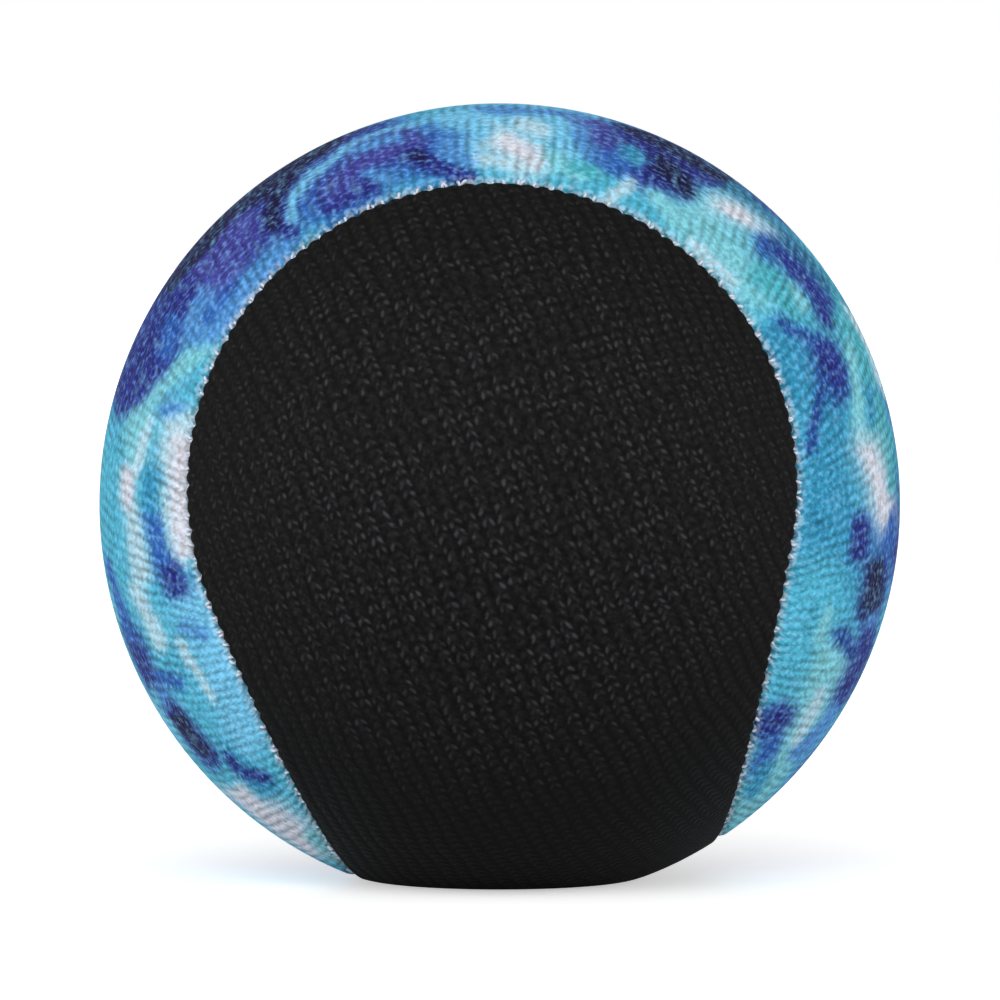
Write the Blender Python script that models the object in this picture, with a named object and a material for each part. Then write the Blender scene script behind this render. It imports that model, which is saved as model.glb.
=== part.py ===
"""A soft water bouncing ball: a gel core in a stretch-knit cover of two panels.

The panels have the shape of a tennis ball's: two round lobes joined by a waist, with the black one
cut a little fuller. They are sewn edge to edge along one closed seam, with the seam allowances turned
in and pressed into a groove of the core. The gap left for the core is closed by hand at the back.

Units are metres, +Z is up, and the origin is the middle of the flat that the ball rests on. The
black panel's front lobe faces -Y.
"""

import math

import bmesh
import bpy
from mathutils import Matrix, Vector

# Ball
BALL_DIAMETER = 0.056
REST_FLAT_DIAMETER = 0.019  # the gel settles to a flat of this size under its own weight

# How the ball lies: the turn of the seam from a pose with both waists upright
LIE_NOD = math.radians(11.1)  # front lobe leans down
LIE_SWING = math.radians(-1.0)  # front lobe swings to one side
LIE_TILT = math.radians(-6.4)  # the lower waist leans to one side

# Cover
FABRIC_THICKNESS = 0.0006
BLACK_WAIST = 0.0256  # the black panel's least width, measured along the ball
DYED_WAIST = 0.0238  # the dyed panel's least width
SEAM_ALLOWANCE = 0.0026  # how deep the turned-in edge reaches below the ball's surface
SEAM_BEND_RADIUS = 0.00015  # inside of the fold where the fabric turns in
SEAM_GAP = 0.0003  # between the two turned-in edges

# Thread
THREAD_DIAMETER = 0.00035
KNOT_DIAMETER = 0.0005
CLOSING_LENGTH = 0.034  # seam that is closed by hand, centred on the back lobe's tip

# Clearances
CORE_CLEARANCE = 0.0003  # core to fabric
THREAD_CLEARANCE = 0.0001  # thread to fabric
THREAD_END_GAP = 0.0003  # between the two threads' ends

# Mesh fineness
ARC_STATIONS = 24  # points along each of the seam's four arcs
FOLD_STEPS = 3  # facets round the turned edge
THREAD_RINGS = 2  # bevel resolution of a thread
SHARP_EDGE = math.radians(50)  # an edge turned more than this isn't shaded smooth

BALL_RADIUS = BALL_DIAMETER / 2
CENTRE_HEIGHT = math.sqrt(BALL_RADIUS**2 - (REST_FLAT_DIAMETER / 2) ** 2)

# The seam is four round arcs, each about the middle of a lobe. For arcs that meet smoothly, the waists
# set how far a lobe's middle is lifted off the ball's equator, and each panel's lobes reach as far as
# the other panel's waist.
MEAN_WAIST_ANGLE = (BLACK_WAIST + DYED_WAIST) / 4 / BALL_RADIUS
LOBE_LIFT = math.atan((math.sqrt(0.5) - math.sin(MEAN_WAIST_ANGLE)) / math.cos(MEAN_WAIST_ANGLE))
BLACK_LOBE_ANGLE = math.pi / 2 - LOBE_LIFT - DYED_WAIST / 2 / BALL_RADIUS
DYED_LOBE_ANGLE = math.pi / 2 - LOBE_LIFT - BLACK_WAIST / 2 / BALL_RADIUS
ARC_SWEEP = math.pi / 2 + math.atan(math.sin(LOBE_LIFT))  # from a lobe's tip to the arc's end
BLACK_ARC_LENGTH = 2 * ARC_SWEEP * math.sin(BLACK_LOBE_ANGLE) * BALL_RADIUS
STATIONS = 4 * ARC_STATIONS

# The quarter turn and flip that carries the black panel onto the dyed one
NEXT_ARC = Matrix(((0, -1, 0), (1, 0, 0), (0, 0, -1)))
LIE = (
    Matrix.Rotation(LIE_TILT, 3, "Y")
    @ Matrix.Rotation(LIE_NOD, 3, "X")
    @ Matrix.Rotation(LIE_SWING, 3, "Z")
)
BLACK, DYED = 1, -1  # the two sides of the seam

# The turned edge: the outer radius of its fold, and how far from the seam the fold and the field start
FOLD_RADIUS = FABRIC_THICKNESS + SEAM_BEND_RADIUS
FOLD_START = SEAM_GAP / 2 + FOLD_RADIUS
FIELD_START = FOLD_START + CORE_CLEARANCE + 2 * FABRIC_THICKNESS

# The core's skin and the groove that takes both turned-in edges
CORE_DEPTH = FABRIC_THICKNESS + CORE_CLEARANCE
GROOVE_HALF_WIDTH = SEAM_GAP / 2 + FABRIC_THICKNESS + CORE_CLEARANCE
GROOVE_DEPTH = SEAM_ALLOWANCE + CORE_CLEARANCE
GROOVE_CHAMFER = SEAM_BEND_RADIUS


def clear_scene():
    for old in list(bpy.data.objects):
        bpy.data.objects.remove(old)


def material(name, colour, roughness):
    made = bpy.data.materials.new(name)
    made.use_nodes = True
    shader = made.node_tree.nodes["Principled BSDF"]
    shader.inputs["Base Color"].default_value = (*colour, 1.0)
    shader.inputs["Roughness"].default_value = roughness
    shader.inputs["Metallic"].default_value = 0.0
    return made


def seam_frame(turn):
    """The seam's direction from the ball's middle, and the way from there into the black panel.

    A whole turn is one arc of the seam, and four turns go all the way round it.
    """
    arc = int(turn) % 4
    angle = ARC_SWEEP * (2 * (turn - int(turn)) - 1)
    middle = Vector((0, -math.cos(LOBE_LIFT), math.sin(LOBE_LIFT)))
    to_tip = Vector((0, math.sin(LOBE_LIFT), math.cos(LOBE_LIFT)))
    out = math.cos(angle) * to_tip + math.sin(angle) * Vector((1, 0, 0))
    reach = BLACK_LOBE_ANGLE if arc % 2 == 0 else DYED_LOBE_ANGLE
    on_seam = math.cos(reach) * middle + math.sin(reach) * out
    to_middle = math.sin(reach) * middle - math.cos(reach) * out
    for _ in range(arc):
        on_seam = NEXT_ARC @ on_seam
        to_middle = NEXT_ARC @ to_middle
    return on_seam, to_middle if arc % 2 == 0 else -to_middle


def beside_seam(turn, side, distance):
    """The direction of a point at a distance from the seam, on the black or the dyed side."""
    on_seam, into_black = seam_frame(turn)
    angle = side * distance / BALL_RADIUS
    return math.cos(angle) * on_seam + math.sin(angle) * into_black


def settled(direction, depth):
    """A point below the ball's skin, from the ball's middle, pressed up by the surface it rests on."""
    point = LIE @ direction * (BALL_RADIUS - depth)
    point.z = max(point.z, depth - CENTRE_HEIGHT)
    return point


def station_turn(station):
    return (station % STATIONS) / ARC_STATIONS


def ring(bm, side, distance, depth):
    """A closed row of points all along the seam."""
    directions = [beside_seam(station_turn(k), side, distance) for k in range(STATIONS)]
    return [bm.verts.new(settled(direction, depth)) for direction in directions]


def skin_between(bm, first, second):
    """A strip of faces between two closed rows of as many points."""
    for k in range(STATIONS):
        following = (k + 1) % STATIONS
        bm.faces.new((first[k], first[following], second[following], second[k]))


def strip_place(direction, side):
    """Where a direction lies on a panel laid out along its waist: the way along it and across it."""
    if side == DYED:
        direction = NEXT_ARC.inverted() @ direction
    return Vector((math.atan2(-direction.y, -direction.z), math.asin(direction.x)))


def strip_direction(place, side):
    along, across = place
    level = math.cos(across)
    direction = Vector((math.sin(across), -level * math.sin(along), -level * math.cos(along)))
    return NEXT_ARC @ direction if side == DYED else direction


def fill_field(bm, edge, side, depth):
    """A grid of faces over the field of a panel, inside the closed row of points at its border."""
    across = ARC_STATIONS // 2
    along = STATIONS // 2 - across
    corner = ARC_STATIONS // 4 + (ARC_STATIONS if side == DYED else 0)
    near = [(corner + i) % STATIONS for i in range(across + 1)]
    right = [(near[-1] + j) % STATIONS for j in range(along + 1)]
    left = [(corner - j) % STATIONS for j in range(along + 1)]
    far = [(left[-1] - i) % STATIONS for i in range(across + 1)]

    def place(station):
        return strip_place(beside_seam(station_turn(station), side, FIELD_START), side)

    rows = []
    for j in range(along + 1):
        v = j / along
        row = []
        for i in range(across + 1):
            u = i / across
            if j == 0:
                row.append(edge[near[i]])
            elif j == along:
                row.append(edge[far[i]])
            elif i == 0:
                row.append(edge[left[j]])
            elif i == across:
                row.append(edge[right[j]])
            else:
                sides = (1 - u) * place(left[j]) + u * place(right[j])
                ends = (1 - v) * place(near[i]) + v * place(far[i])
                near_corners = (1 - u) * place(near[0]) + u * place(near[-1])
                far_corners = (1 - u) * place(far[0]) + u * place(far[-1])
                blend = sides + ends - (1 - v) * near_corners - v * far_corners
                row.append(bm.verts.new(settled(strip_direction(blend, side), depth)))
        rows.append(row)
    for j in range(along):
        for i in range(across):
            bm.faces.new((rows[j][i], rows[j][i + 1], rows[j + 1][i + 1], rows[j + 1][i]))


def mesh_object(name, bm, finish, ball):
    """The finished mesh as a smooth-shaded object."""
    mesh = bpy.data.meshes.new(name)
    bm.to_mesh(mesh)
    bm.free()
    mesh.shade_smooth()
    mesh.set_sharp_from_angle(angle=SHARP_EDGE)
    return add_object(name, mesh, finish, ball)


def add_object(name, data, finish, ball):
    """An object of the given shape and finish, placed at the ball's middle."""
    data.materials.append(finish)
    made = bpy.data.objects.new(name, data)
    bpy.context.scene.collection.objects.link(made)
    made.parent = ball
    return made


def facing_out(bm):
    """Turns an open skin's faces away from the ball's middle."""
    bmesh.ops.recalc_face_normals(bm, faces=bm.faces)
    outermost = max(bm.faces, key=lambda face: face.calc_center_median().length)
    if outermost.normal.dot(outermost.calc_center_median()) < 0:
        bmesh.ops.reverse_faces(bm, faces=bm.faces)


def build_panel(name, side, finish, ball):
    """One cover panel: its outer skin with the edge folded in, given the fabric's thickness."""
    bm = bmesh.new()
    profile = [(SEAM_GAP / 2, SEAM_ALLOWANCE)]
    for step in range(FOLD_STEPS, -1, -1):
        angle = math.pi / 2 * step / FOLD_STEPS
        distance = FOLD_START - FOLD_RADIUS * math.sin(angle)
        profile.append((distance, FOLD_RADIUS * (1 - math.cos(angle))))
    profile.append((FIELD_START, 0.0))
    rows = [ring(bm, side, distance, depth) for distance, depth in profile]
    for first, second in zip(rows, rows[1:]):
        skin_between(bm, first, second)
    fill_field(bm, rows[-1], side, 0.0)
    facing_out(bm)
    panel = mesh_object(name, bm, finish, ball)
    cloth = panel.modifiers.new("fabric", "SOLIDIFY")
    cloth.thickness = FABRIC_THICKNESS
    cloth.offset = -1
    cloth.use_even_offset = True
    return panel


def build_core(name, finish, ball):
    """The gel core, with one groove along the seam for the turned-in edges."""
    bm = bmesh.new()
    profile = (
        (GROOVE_HALF_WIDTH, GROOVE_DEPTH),
        (GROOVE_HALF_WIDTH, CORE_DEPTH + GROOVE_CHAMFER),
        (GROOVE_HALF_WIDTH + GROOVE_CHAMFER, CORE_DEPTH),
        (FIELD_START, CORE_DEPTH),
    )
    floors = []
    for side in (BLACK, DYED):
        rows = [ring(bm, side, distance, depth) for distance, depth in profile]
        for first, second in zip(rows, rows[1:]):
            skin_between(bm, first, second)
        fill_field(bm, rows[-1], side, CORE_DEPTH)
        floors.append(rows[0])
    skin_between(bm, *floors)
    bmesh.ops.recalc_face_normals(bm, faces=bm.faces)
    return mesh_object(name, bm, finish, ball)


def resting_depth(diameter):
    """How deep a thread's middle lies: on both turned edges, or between them if it is thin enough."""
    reach = FOLD_RADIUS + diameter / 2 + THREAD_CLEARANCE
    return FOLD_RADIUS - math.sqrt(max(reach**2 - FOLD_START**2, 0.0))


def build_thread(name, start, end, finish, ball, knots=()):
    """A thread lying in the seam from one turn of the seam to another, with knots at the given turns."""
    stations = [k / ARC_STATIONS for k in range(2 * STATIONS)]
    turns = sorted({start, end, *knots, *(turn for turn in stations if start < turn < end)})
    line = bpy.data.curves.new(name, "CURVE")
    line.dimensions = "3D"
    line.bevel_depth = THREAD_DIAMETER / 2
    line.bevel_resolution = THREAD_RINGS
    line.use_fill_caps = True
    spline = line.splines.new("POLY")
    spline.points.add(len(turns) - 1)
    for point, turn in zip(spline.points, turns):
        diameter = KNOT_DIAMETER if turn in knots else THREAD_DIAMETER
        on_seam, _ = seam_frame(turn)
        point.co = (*settled(on_seam, resting_depth(diameter)), 1.0)
        point.radius = diameter / THREAD_DIAMETER
    return add_object(name, line, finish, ball)


def build_threads(finish, ball):
    """The machine seam, and the stretch at the back that is closed by hand."""
    back_tip = 2.5
    half = CLOSING_LENGTH / 2 / BLACK_ARC_LENGTH
    gap = THREAD_END_GAP / BLACK_ARC_LENGTH
    knot_place = back_tip + half - KNOT_DIAMETER / BLACK_ARC_LENGTH
    build_thread("seam_thread", back_tip + half + gap, back_tip + 4 - half - gap, finish, ball)
    build_thread("closing_thread", back_tip - half, back_tip + half, finish, ball, knots=(knot_place,))


def main():
    clear_scene()
    black_knit = material("black_knit", (0.012, 0.012, 0.013), 0.75)
    dyed_knit = material("dyed_knit", (0.13, 0.42, 0.66), 0.7)
    gel = material("gel", (0.80, 0.83, 0.80), 0.45)
    thread = material("thread", (0.82, 0.84, 0.86), 0.6)
    ball = bpy.data.objects.new("ball", None)
    bpy.context.scene.collection.objects.link(ball)
    ball.location.z = CENTRE_HEIGHT
    build_core("gel_core", gel, ball)
    build_panel("black_panel", BLACK, black_knit, ball)
    build_panel("dyed_panel", DYED, dyed_knit, ball)
    build_threads(thread, ball)


main()
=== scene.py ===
"""Dresses a soft water bouncing ball: a gel core in a knit cover of a black and a tie-dyed panel.

Units are metres and +Z is up. The ball rests on the floor at the origin, and the camera looks along
+Y at the black panel's front lobe. Each panel has two round lobes and a waist, and they meet along
one closed seam that winds round the ball in four arcs.
"""

import logging
import math
from dataclasses import dataclass
from enum import Enum
from functools import cached_property

import bpy
import numpy as np
from mathutils import Matrix, Vector


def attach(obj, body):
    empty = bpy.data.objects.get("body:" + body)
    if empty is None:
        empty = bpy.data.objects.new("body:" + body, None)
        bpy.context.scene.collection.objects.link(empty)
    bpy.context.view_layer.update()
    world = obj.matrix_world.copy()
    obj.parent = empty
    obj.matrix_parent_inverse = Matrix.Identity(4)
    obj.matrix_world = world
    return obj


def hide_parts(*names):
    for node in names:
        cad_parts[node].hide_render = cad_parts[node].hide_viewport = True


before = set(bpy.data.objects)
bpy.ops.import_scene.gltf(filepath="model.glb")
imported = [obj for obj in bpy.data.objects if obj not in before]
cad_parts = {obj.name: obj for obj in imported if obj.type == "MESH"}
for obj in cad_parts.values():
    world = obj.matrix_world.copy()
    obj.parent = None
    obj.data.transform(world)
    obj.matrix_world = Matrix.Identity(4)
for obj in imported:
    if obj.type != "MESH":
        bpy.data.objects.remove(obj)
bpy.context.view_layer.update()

MILLIMETRE = 0.001
# Elevation from which the ball is seen
VIEW_LIFT = math.radians(2.5)
# The span that holds most values of a cloudy noise
NOISE_SPAN = (0.3, 0.7)

Array = np.ndarray
Colour = tuple[float, float, float]
Pair = tuple[float, float]
Socket = bpy.types.NodeSocket

log = logging.getLogger("water_ball")


class Side(Enum):
    """The two sides of the seam, signed by the way across it."""

    BLACK = 1
    DYED = -1


class Dye(Enum):
    """The dyes of the tie-dyed panel as eight-bit screen colours."""

    CYAN = (80, 182, 212)
    AQUA = (126, 204, 216)
    TEAL = (74, 176, 190)
    DEEP_TEAL = (46, 120, 154)
    LAGOON = (52, 148, 188)
    SKY = (118, 200, 238)
    PALE = (184, 220, 234)
    ROSE = (222, 221, 231)
    AZURE = (80, 144, 210)
    BLUE = (46, 98, 182)
    MARINE = (36, 72, 150)
    VIOLET = (68, 68, 158)
    INDIGO = (38, 42, 132)
    NAVY = (24, 18, 66)


def linear_levels(screen: Array) -> Array:
    """Turns eight-bit screen colours into linear ones by the sRGB curve.

    Args:
        screen: Levels from 0 to 255.

    Returns:
        The linear levels from 0 to 1.
    """
    shares = screen / 255
    return np.where(shares <= 0.04045, shares / 12.92, ((shares + 0.055) / 1.055) ** 2.4)


def linear(screen: tuple[int, int, int]) -> Colour:
    """An eight-bit screen colour as a linear one."""
    return tuple(linear_levels(np.array(screen)).tolist())


# Shape of the ball


@dataclass(frozen=True)
class BallShape:
    """The ball's size, the way it lies and how it settles on the floor.

    Attributes:
        diameter: The ball's outside diameter.
        rest_flat: Diameter of the flat that the gel settles to.
        nod: How far the front lobe leans down.
        swing: How far the front lobe swings to one side.
        tilt: How far the lower waist leans to one side.
        rim_softness: How softly the flat runs out into the ball.
    """

    diameter: float = 0.056
    rest_flat: float = 0.019
    nod: float = math.radians(11.1)
    swing: float = math.radians(-1.0)
    tilt: float = math.radians(-6.4)
    rim_softness: float = 0.00025

    @property
    def radius(self) -> float:
        """The ball's outside radius."""
        return self.diameter / 2

    @property
    def centre_height(self) -> float:
        """Height of the ball's middle above the floor."""
        return math.sqrt(self.radius**2 - (self.rest_flat / 2) ** 2)

    @cached_property
    def lie(self) -> Array:
        """The turn from the panels' own axes to the way the ball lies."""
        turn = (
            Matrix.Rotation(self.tilt, 3, "Y")
            @ Matrix.Rotation(self.nod, 3, "X")
            @ Matrix.Rotation(self.swing, 3, "Z")
        )
        return np.array(turn)

    def settle(self, directions: Array, depth: Array | float) -> Array:
        """Places points below the ball's skin, pressed up by the floor.

        Args:
            directions: Unit directions in the panels' own axes, one per row.
            depth: Depth below the skin, one for all or one per row.

        Returns:
            The points from the ball's middle, in the frame's axes.
        """
        depth = np.broadcast_to(depth, len(directions))
        points = (directions * (self.radius - depth)[:, None]) @ self.lie.T
        over = points[:, 2] - (depth - self.centre_height)
        points[:, 2] += (np.sqrt(over**2 + self.rim_softness**2) - over) / 2
        return points


@dataclass(frozen=True)
class SeamLine:
    """The closed line where the panels meet: four round arcs, each about the middle of a lobe.

    Attributes:
        ball: The ball that the seam lies on.
        black_waist: The black panel's least width, measured along the ball.
        dyed_waist: The dyed panel's least width.
    """

    ball: BallShape
    black_waist: float = 0.0256
    dyed_waist: float = 0.0238

    # Turns an arc into the next one
    NEXT_ARC = np.array(((0, -1, 0), (1, 0, 0), (0, 0, -1)))
    ARCS = 4

    @cached_property
    def lobe_lift(self) -> float:
        """How far a lobe's middle is lifted off the ball's equator, so that the arcs meet smoothly."""
        half = (self.black_waist + self.dyed_waist) / 4 / self.ball.radius
        return math.atan((math.sqrt(0.5) - math.sin(half)) / math.cos(half))

    def lobe_angle(self, side: Side) -> float:
        """The angle from a lobe's middle to the seam, which reaches as far as the other panel's waist."""
        other_waist = self.dyed_waist if side is Side.BLACK else self.black_waist
        return math.pi / 2 - self.lobe_lift - other_waist / 2 / self.ball.radius

    @cached_property
    def arc_sweep(self) -> float:
        """The angle about a lobe's middle from its tip to the end of its arc."""
        return math.pi / 2 + math.atan(math.sin(self.lobe_lift))

    @cached_property
    def arc_length(self) -> float:
        """The length of the seam's arc round a black lobe."""
        return 2 * self.arc_sweep * math.sin(self.lobe_angle(Side.BLACK)) * self.ball.radius

    def frames(self, turns: Array) -> tuple[Array, Array]:
        """Follows the seam, where one turn is an arc and four turns go all the way round.

        Args:
            turns: Places along the seam.

        Returns:
            The directions on the seam, and the ways from there into the black panel.
        """
        arcs = np.floor(turns).astype(int) % self.ARCS
        angle = self.arc_sweep * (2 * (turns - np.floor(turns)) - 1)
        lift = self.lobe_lift
        middle = np.array((0, -math.cos(lift), math.sin(lift)))
        to_tip = np.array((0, math.sin(lift), math.cos(lift)))
        out = np.cos(angle)[:, None] * to_tip + np.sin(angle)[:, None] * np.array((1, 0, 0))
        black_arc = (arcs % 2 == 0)[:, None]
        reach = np.where(black_arc, self.lobe_angle(Side.BLACK), self.lobe_angle(Side.DYED))
        on_seam = np.cos(reach) * middle + np.sin(reach) * out
        to_middle = np.sin(reach) * middle - np.cos(reach) * out
        for arc in range(1, self.ARCS):
            later = arcs >= arc
            on_seam[later] = on_seam[later] @ self.NEXT_ARC.T
            to_middle[later] = to_middle[later] @ self.NEXT_ARC.T
        return on_seam, np.where(black_arc, to_middle, -to_middle)

    def beside(self, turns: Array, across: Array | float) -> Array:
        """Finds the directions of points beside the seam.

        Args:
            turns: Places along the seam.
            across: Distances from the seam, above zero on the black side.

        Returns:
            Unit directions in the panels' own axes, one per row.
        """
        on_seam, into_black = self.frames(turns)
        angle = np.broadcast_to(across, len(turns))[:, None] / self.ball.radius
        return np.cos(angle) * on_seam + np.sin(angle) * into_black

    def strip_place(self, directions: Array, side: Side) -> Array:
        """Lays a panel out along its waist.

        Args:
            directions: Unit directions in the panels' own axes.
            side: The panel.

        Returns:
            The angles along and across the laid-out panel, one pair per row.
        """
        if side is Side.DYED:
            directions = directions @ self.NEXT_ARC
        along = np.arctan2(-directions[:, 1], -directions[:, 2])
        return np.stack((along, np.arcsin(np.clip(directions[:, 0], -1, 1))), axis=1)

    def strip_direction(self, places: Array, side: Side) -> Array:
        """Wraps places on a laid-out panel back round the ball.

        Args:
            places: Angles along and across the panel, one pair per row.
            side: The panel.

        Returns:
            Unit directions in the panels' own axes.
        """
        along, across = places.T
        level = np.cos(across)
        around = np.stack((np.sin(across), -level * np.sin(along), -level * np.cos(along)), axis=1)
        return around @ self.NEXT_ARC.T if side is Side.DYED else around


@dataclass(frozen=True)
class TurnedEdge:
    """A panel's edge, folded in at the seam.

    Attributes:
        fabric: Thickness of the fabric.
        allowance: How deep the turned-in edge reaches below the ball's surface.
        bend: Inside radius of the fold.
        gap: Distance between the two turned-in edges.
        border: Width of the border that is meshed in rows beside the fold.
    """

    fabric: float = 0.0006
    allowance: float = 0.0026
    bend: float = 0.00005
    gap: float = 0.00008
    border: float = 0.0012

    # Rows within the border, as shares of its width
    BORDER_STEPS = (0.25, 0.6)

    @property
    def fold_radius(self) -> float:
        """Outside radius of the fold."""
        return self.fabric + self.bend

    @property
    def fold_start(self) -> float:
        """Distance from the seam to where the fold begins."""
        return self.gap / 2 + self.fold_radius

    @property
    def field_start(self) -> float:
        """Distance from the seam to where the panel's field begins."""
        return self.fold_start + self.border

    def rows(self, radius: float, fold_steps: int) -> Array:
        """Lists the rows of one face of the fabric, from the raw edge to the border of the field.

        Args:
            radius: The face's radius in the fold.
            fold_steps: Facets round the fold.

        Returns:
            For each row its distance from the seam, its depth, how far its surface is turned and its
            place on the flat fabric, measured from where the two panels touch.
        """
        quarter = math.pi / 2 * self.fold_radius
        raw = self.fold_radius - self.allowance
        listed = [(self.fold_start - radius, self.allowance, math.pi / 2, raw)]
        for step in range(fold_steps, -1, -1):
            turn = math.pi / 2 * step / fold_steps
            distance = self.fold_start - radius * math.sin(turn)
            depth = self.fold_radius - radius * math.cos(turn)
            listed.append((distance, depth, turn, quarter - self.fold_radius * turn))
        for share in (*self.BORDER_STEPS, 1.0):
            step = share * self.border
            listed.append((self.fold_start + step, self.fold_radius - radius, 0.0, quarter + step))
        return np.array(listed)


# Meshes


class MeshDraft:
    """Collects points and faces before they become a mesh."""

    def __init__(self) -> None:
        """Starts with no points and no faces."""
        self.count = 0
        self.faces: list[Array] = []

    def number(self, points: int) -> Array:
        """Numbers a further run of points."""
        self.count += points
        return np.arange(self.count - points, self.count)

    def strip(self, first: Array, second: Array) -> None:
        """Joins two closed rows of as many points with quads."""
        self.faces.append(np.stack((first, np.roll(first, -1), np.roll(second, -1), second), axis=1))

    def double(self, coarse: Array, fine: Array) -> None:
        """Joins two closed rows with triangles.

        Args:
            coarse: The row of fewer points.
            fine: The row of twice as many points.
        """
        start, middle, end = fine[::2], fine[1::2], np.roll(fine[::2], -1)
        following = np.roll(coarse, -1)
        self.faces.append(np.stack((coarse, middle, start), axis=1))
        self.faces.append(np.stack((coarse, following, middle), axis=1))
        self.faces.append(np.stack((following, end, middle), axis=1))

    def chain(self, rows: list[Array]) -> None:
        """Joins each closed row to the next.

        Args:
            rows: The rows, of which each has as many points as the one before it or twice as many.
        """
        for first, second in zip(rows, rows[1:]):
            join = self.strip if len(first) == len(second) else self.double
            join(first, second)

    def grid(self, rows: Array, turned_over: bool) -> None:
        """Fills a grid of point numbers with quads.

        Args:
            rows: The point numbers.
            turned_over: Whether its faces look the other way.
        """
        corners = (rows[:-1, :-1], rows[:-1, 1:], rows[1:, 1:], rows[1:, :-1])
        quads = np.stack([corner.ravel() for corner in corners], axis=1)
        self.faces.append(quads[:, ::-1] if turned_over else quads)

    def mesh(self, name: str, points: Array) -> bpy.types.Mesh:
        """Makes a smooth mesh whose faces point away from the ball's middle or out of a tube.

        Args:
            name: The mesh's name.
            points: One point per row, in the order they were numbered.

        Returns:
            The mesh.
        """
        faces = [face for block in self.faces for face in block.tolist()]
        mesh = bpy.data.meshes.new(name)
        mesh.from_pydata(points.tolist(), [], faces)
        mesh.shade_smooth()
        return mesh


def faces_out(mesh: bpy.types.Mesh) -> None:
    """Turns all faces over if the outermost one points at the ball's middle.

    Args:
        mesh: A mesh whose faces already agree with each other.
    """
    outermost = max(mesh.polygons, key=lambda face: face.center.length)
    if outermost.normal.dot(outermost.center) < 0:
        mesh.flip_normals()


def store(mesh: bpy.types.Mesh, name: str, values: Array) -> None:
    """Stores one number or one vector per point as a mesh attribute.

    Args:
        mesh: The mesh that gets the attribute.
        name: The attribute's name.
        values: The numbers, or one vector per row.
    """
    kind, part = ("FLOAT", "value") if values.ndim == 1 else ("FLOAT_VECTOR", "vector")
    attribute = mesh.attributes.new(name, kind, "POINT")
    attribute.data.foreach_set(part, values.astype(np.float32).ravel())


def place_piece(
    name: str, mesh: bpy.types.Mesh, ball: BallShape, material: bpy.types.Material, node: str
) -> bpy.types.Object:
    """Puts a finished piece in place of its plain solid.

    Args:
        name: The piece's name.
        mesh: Its shape, measured from the ball's middle.
        ball: The ball it belongs to.
        material: Its finish.
        node: The plain solid that it stands for.

    Returns:
        The piece, riding on the ball.
    """
    mesh.materials.clear()
    mesh.materials.append(material)
    piece = bpy.data.objects.new(name, mesh)
    bpy.context.scene.collection.objects.link(piece)
    piece.location.z = ball.centre_height
    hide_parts(node)
    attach(piece, "root")
    log.info("%s: %d points, %d faces", name, len(mesh.vertices), len(mesh.polygons))
    return piece


# Shader building


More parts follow.
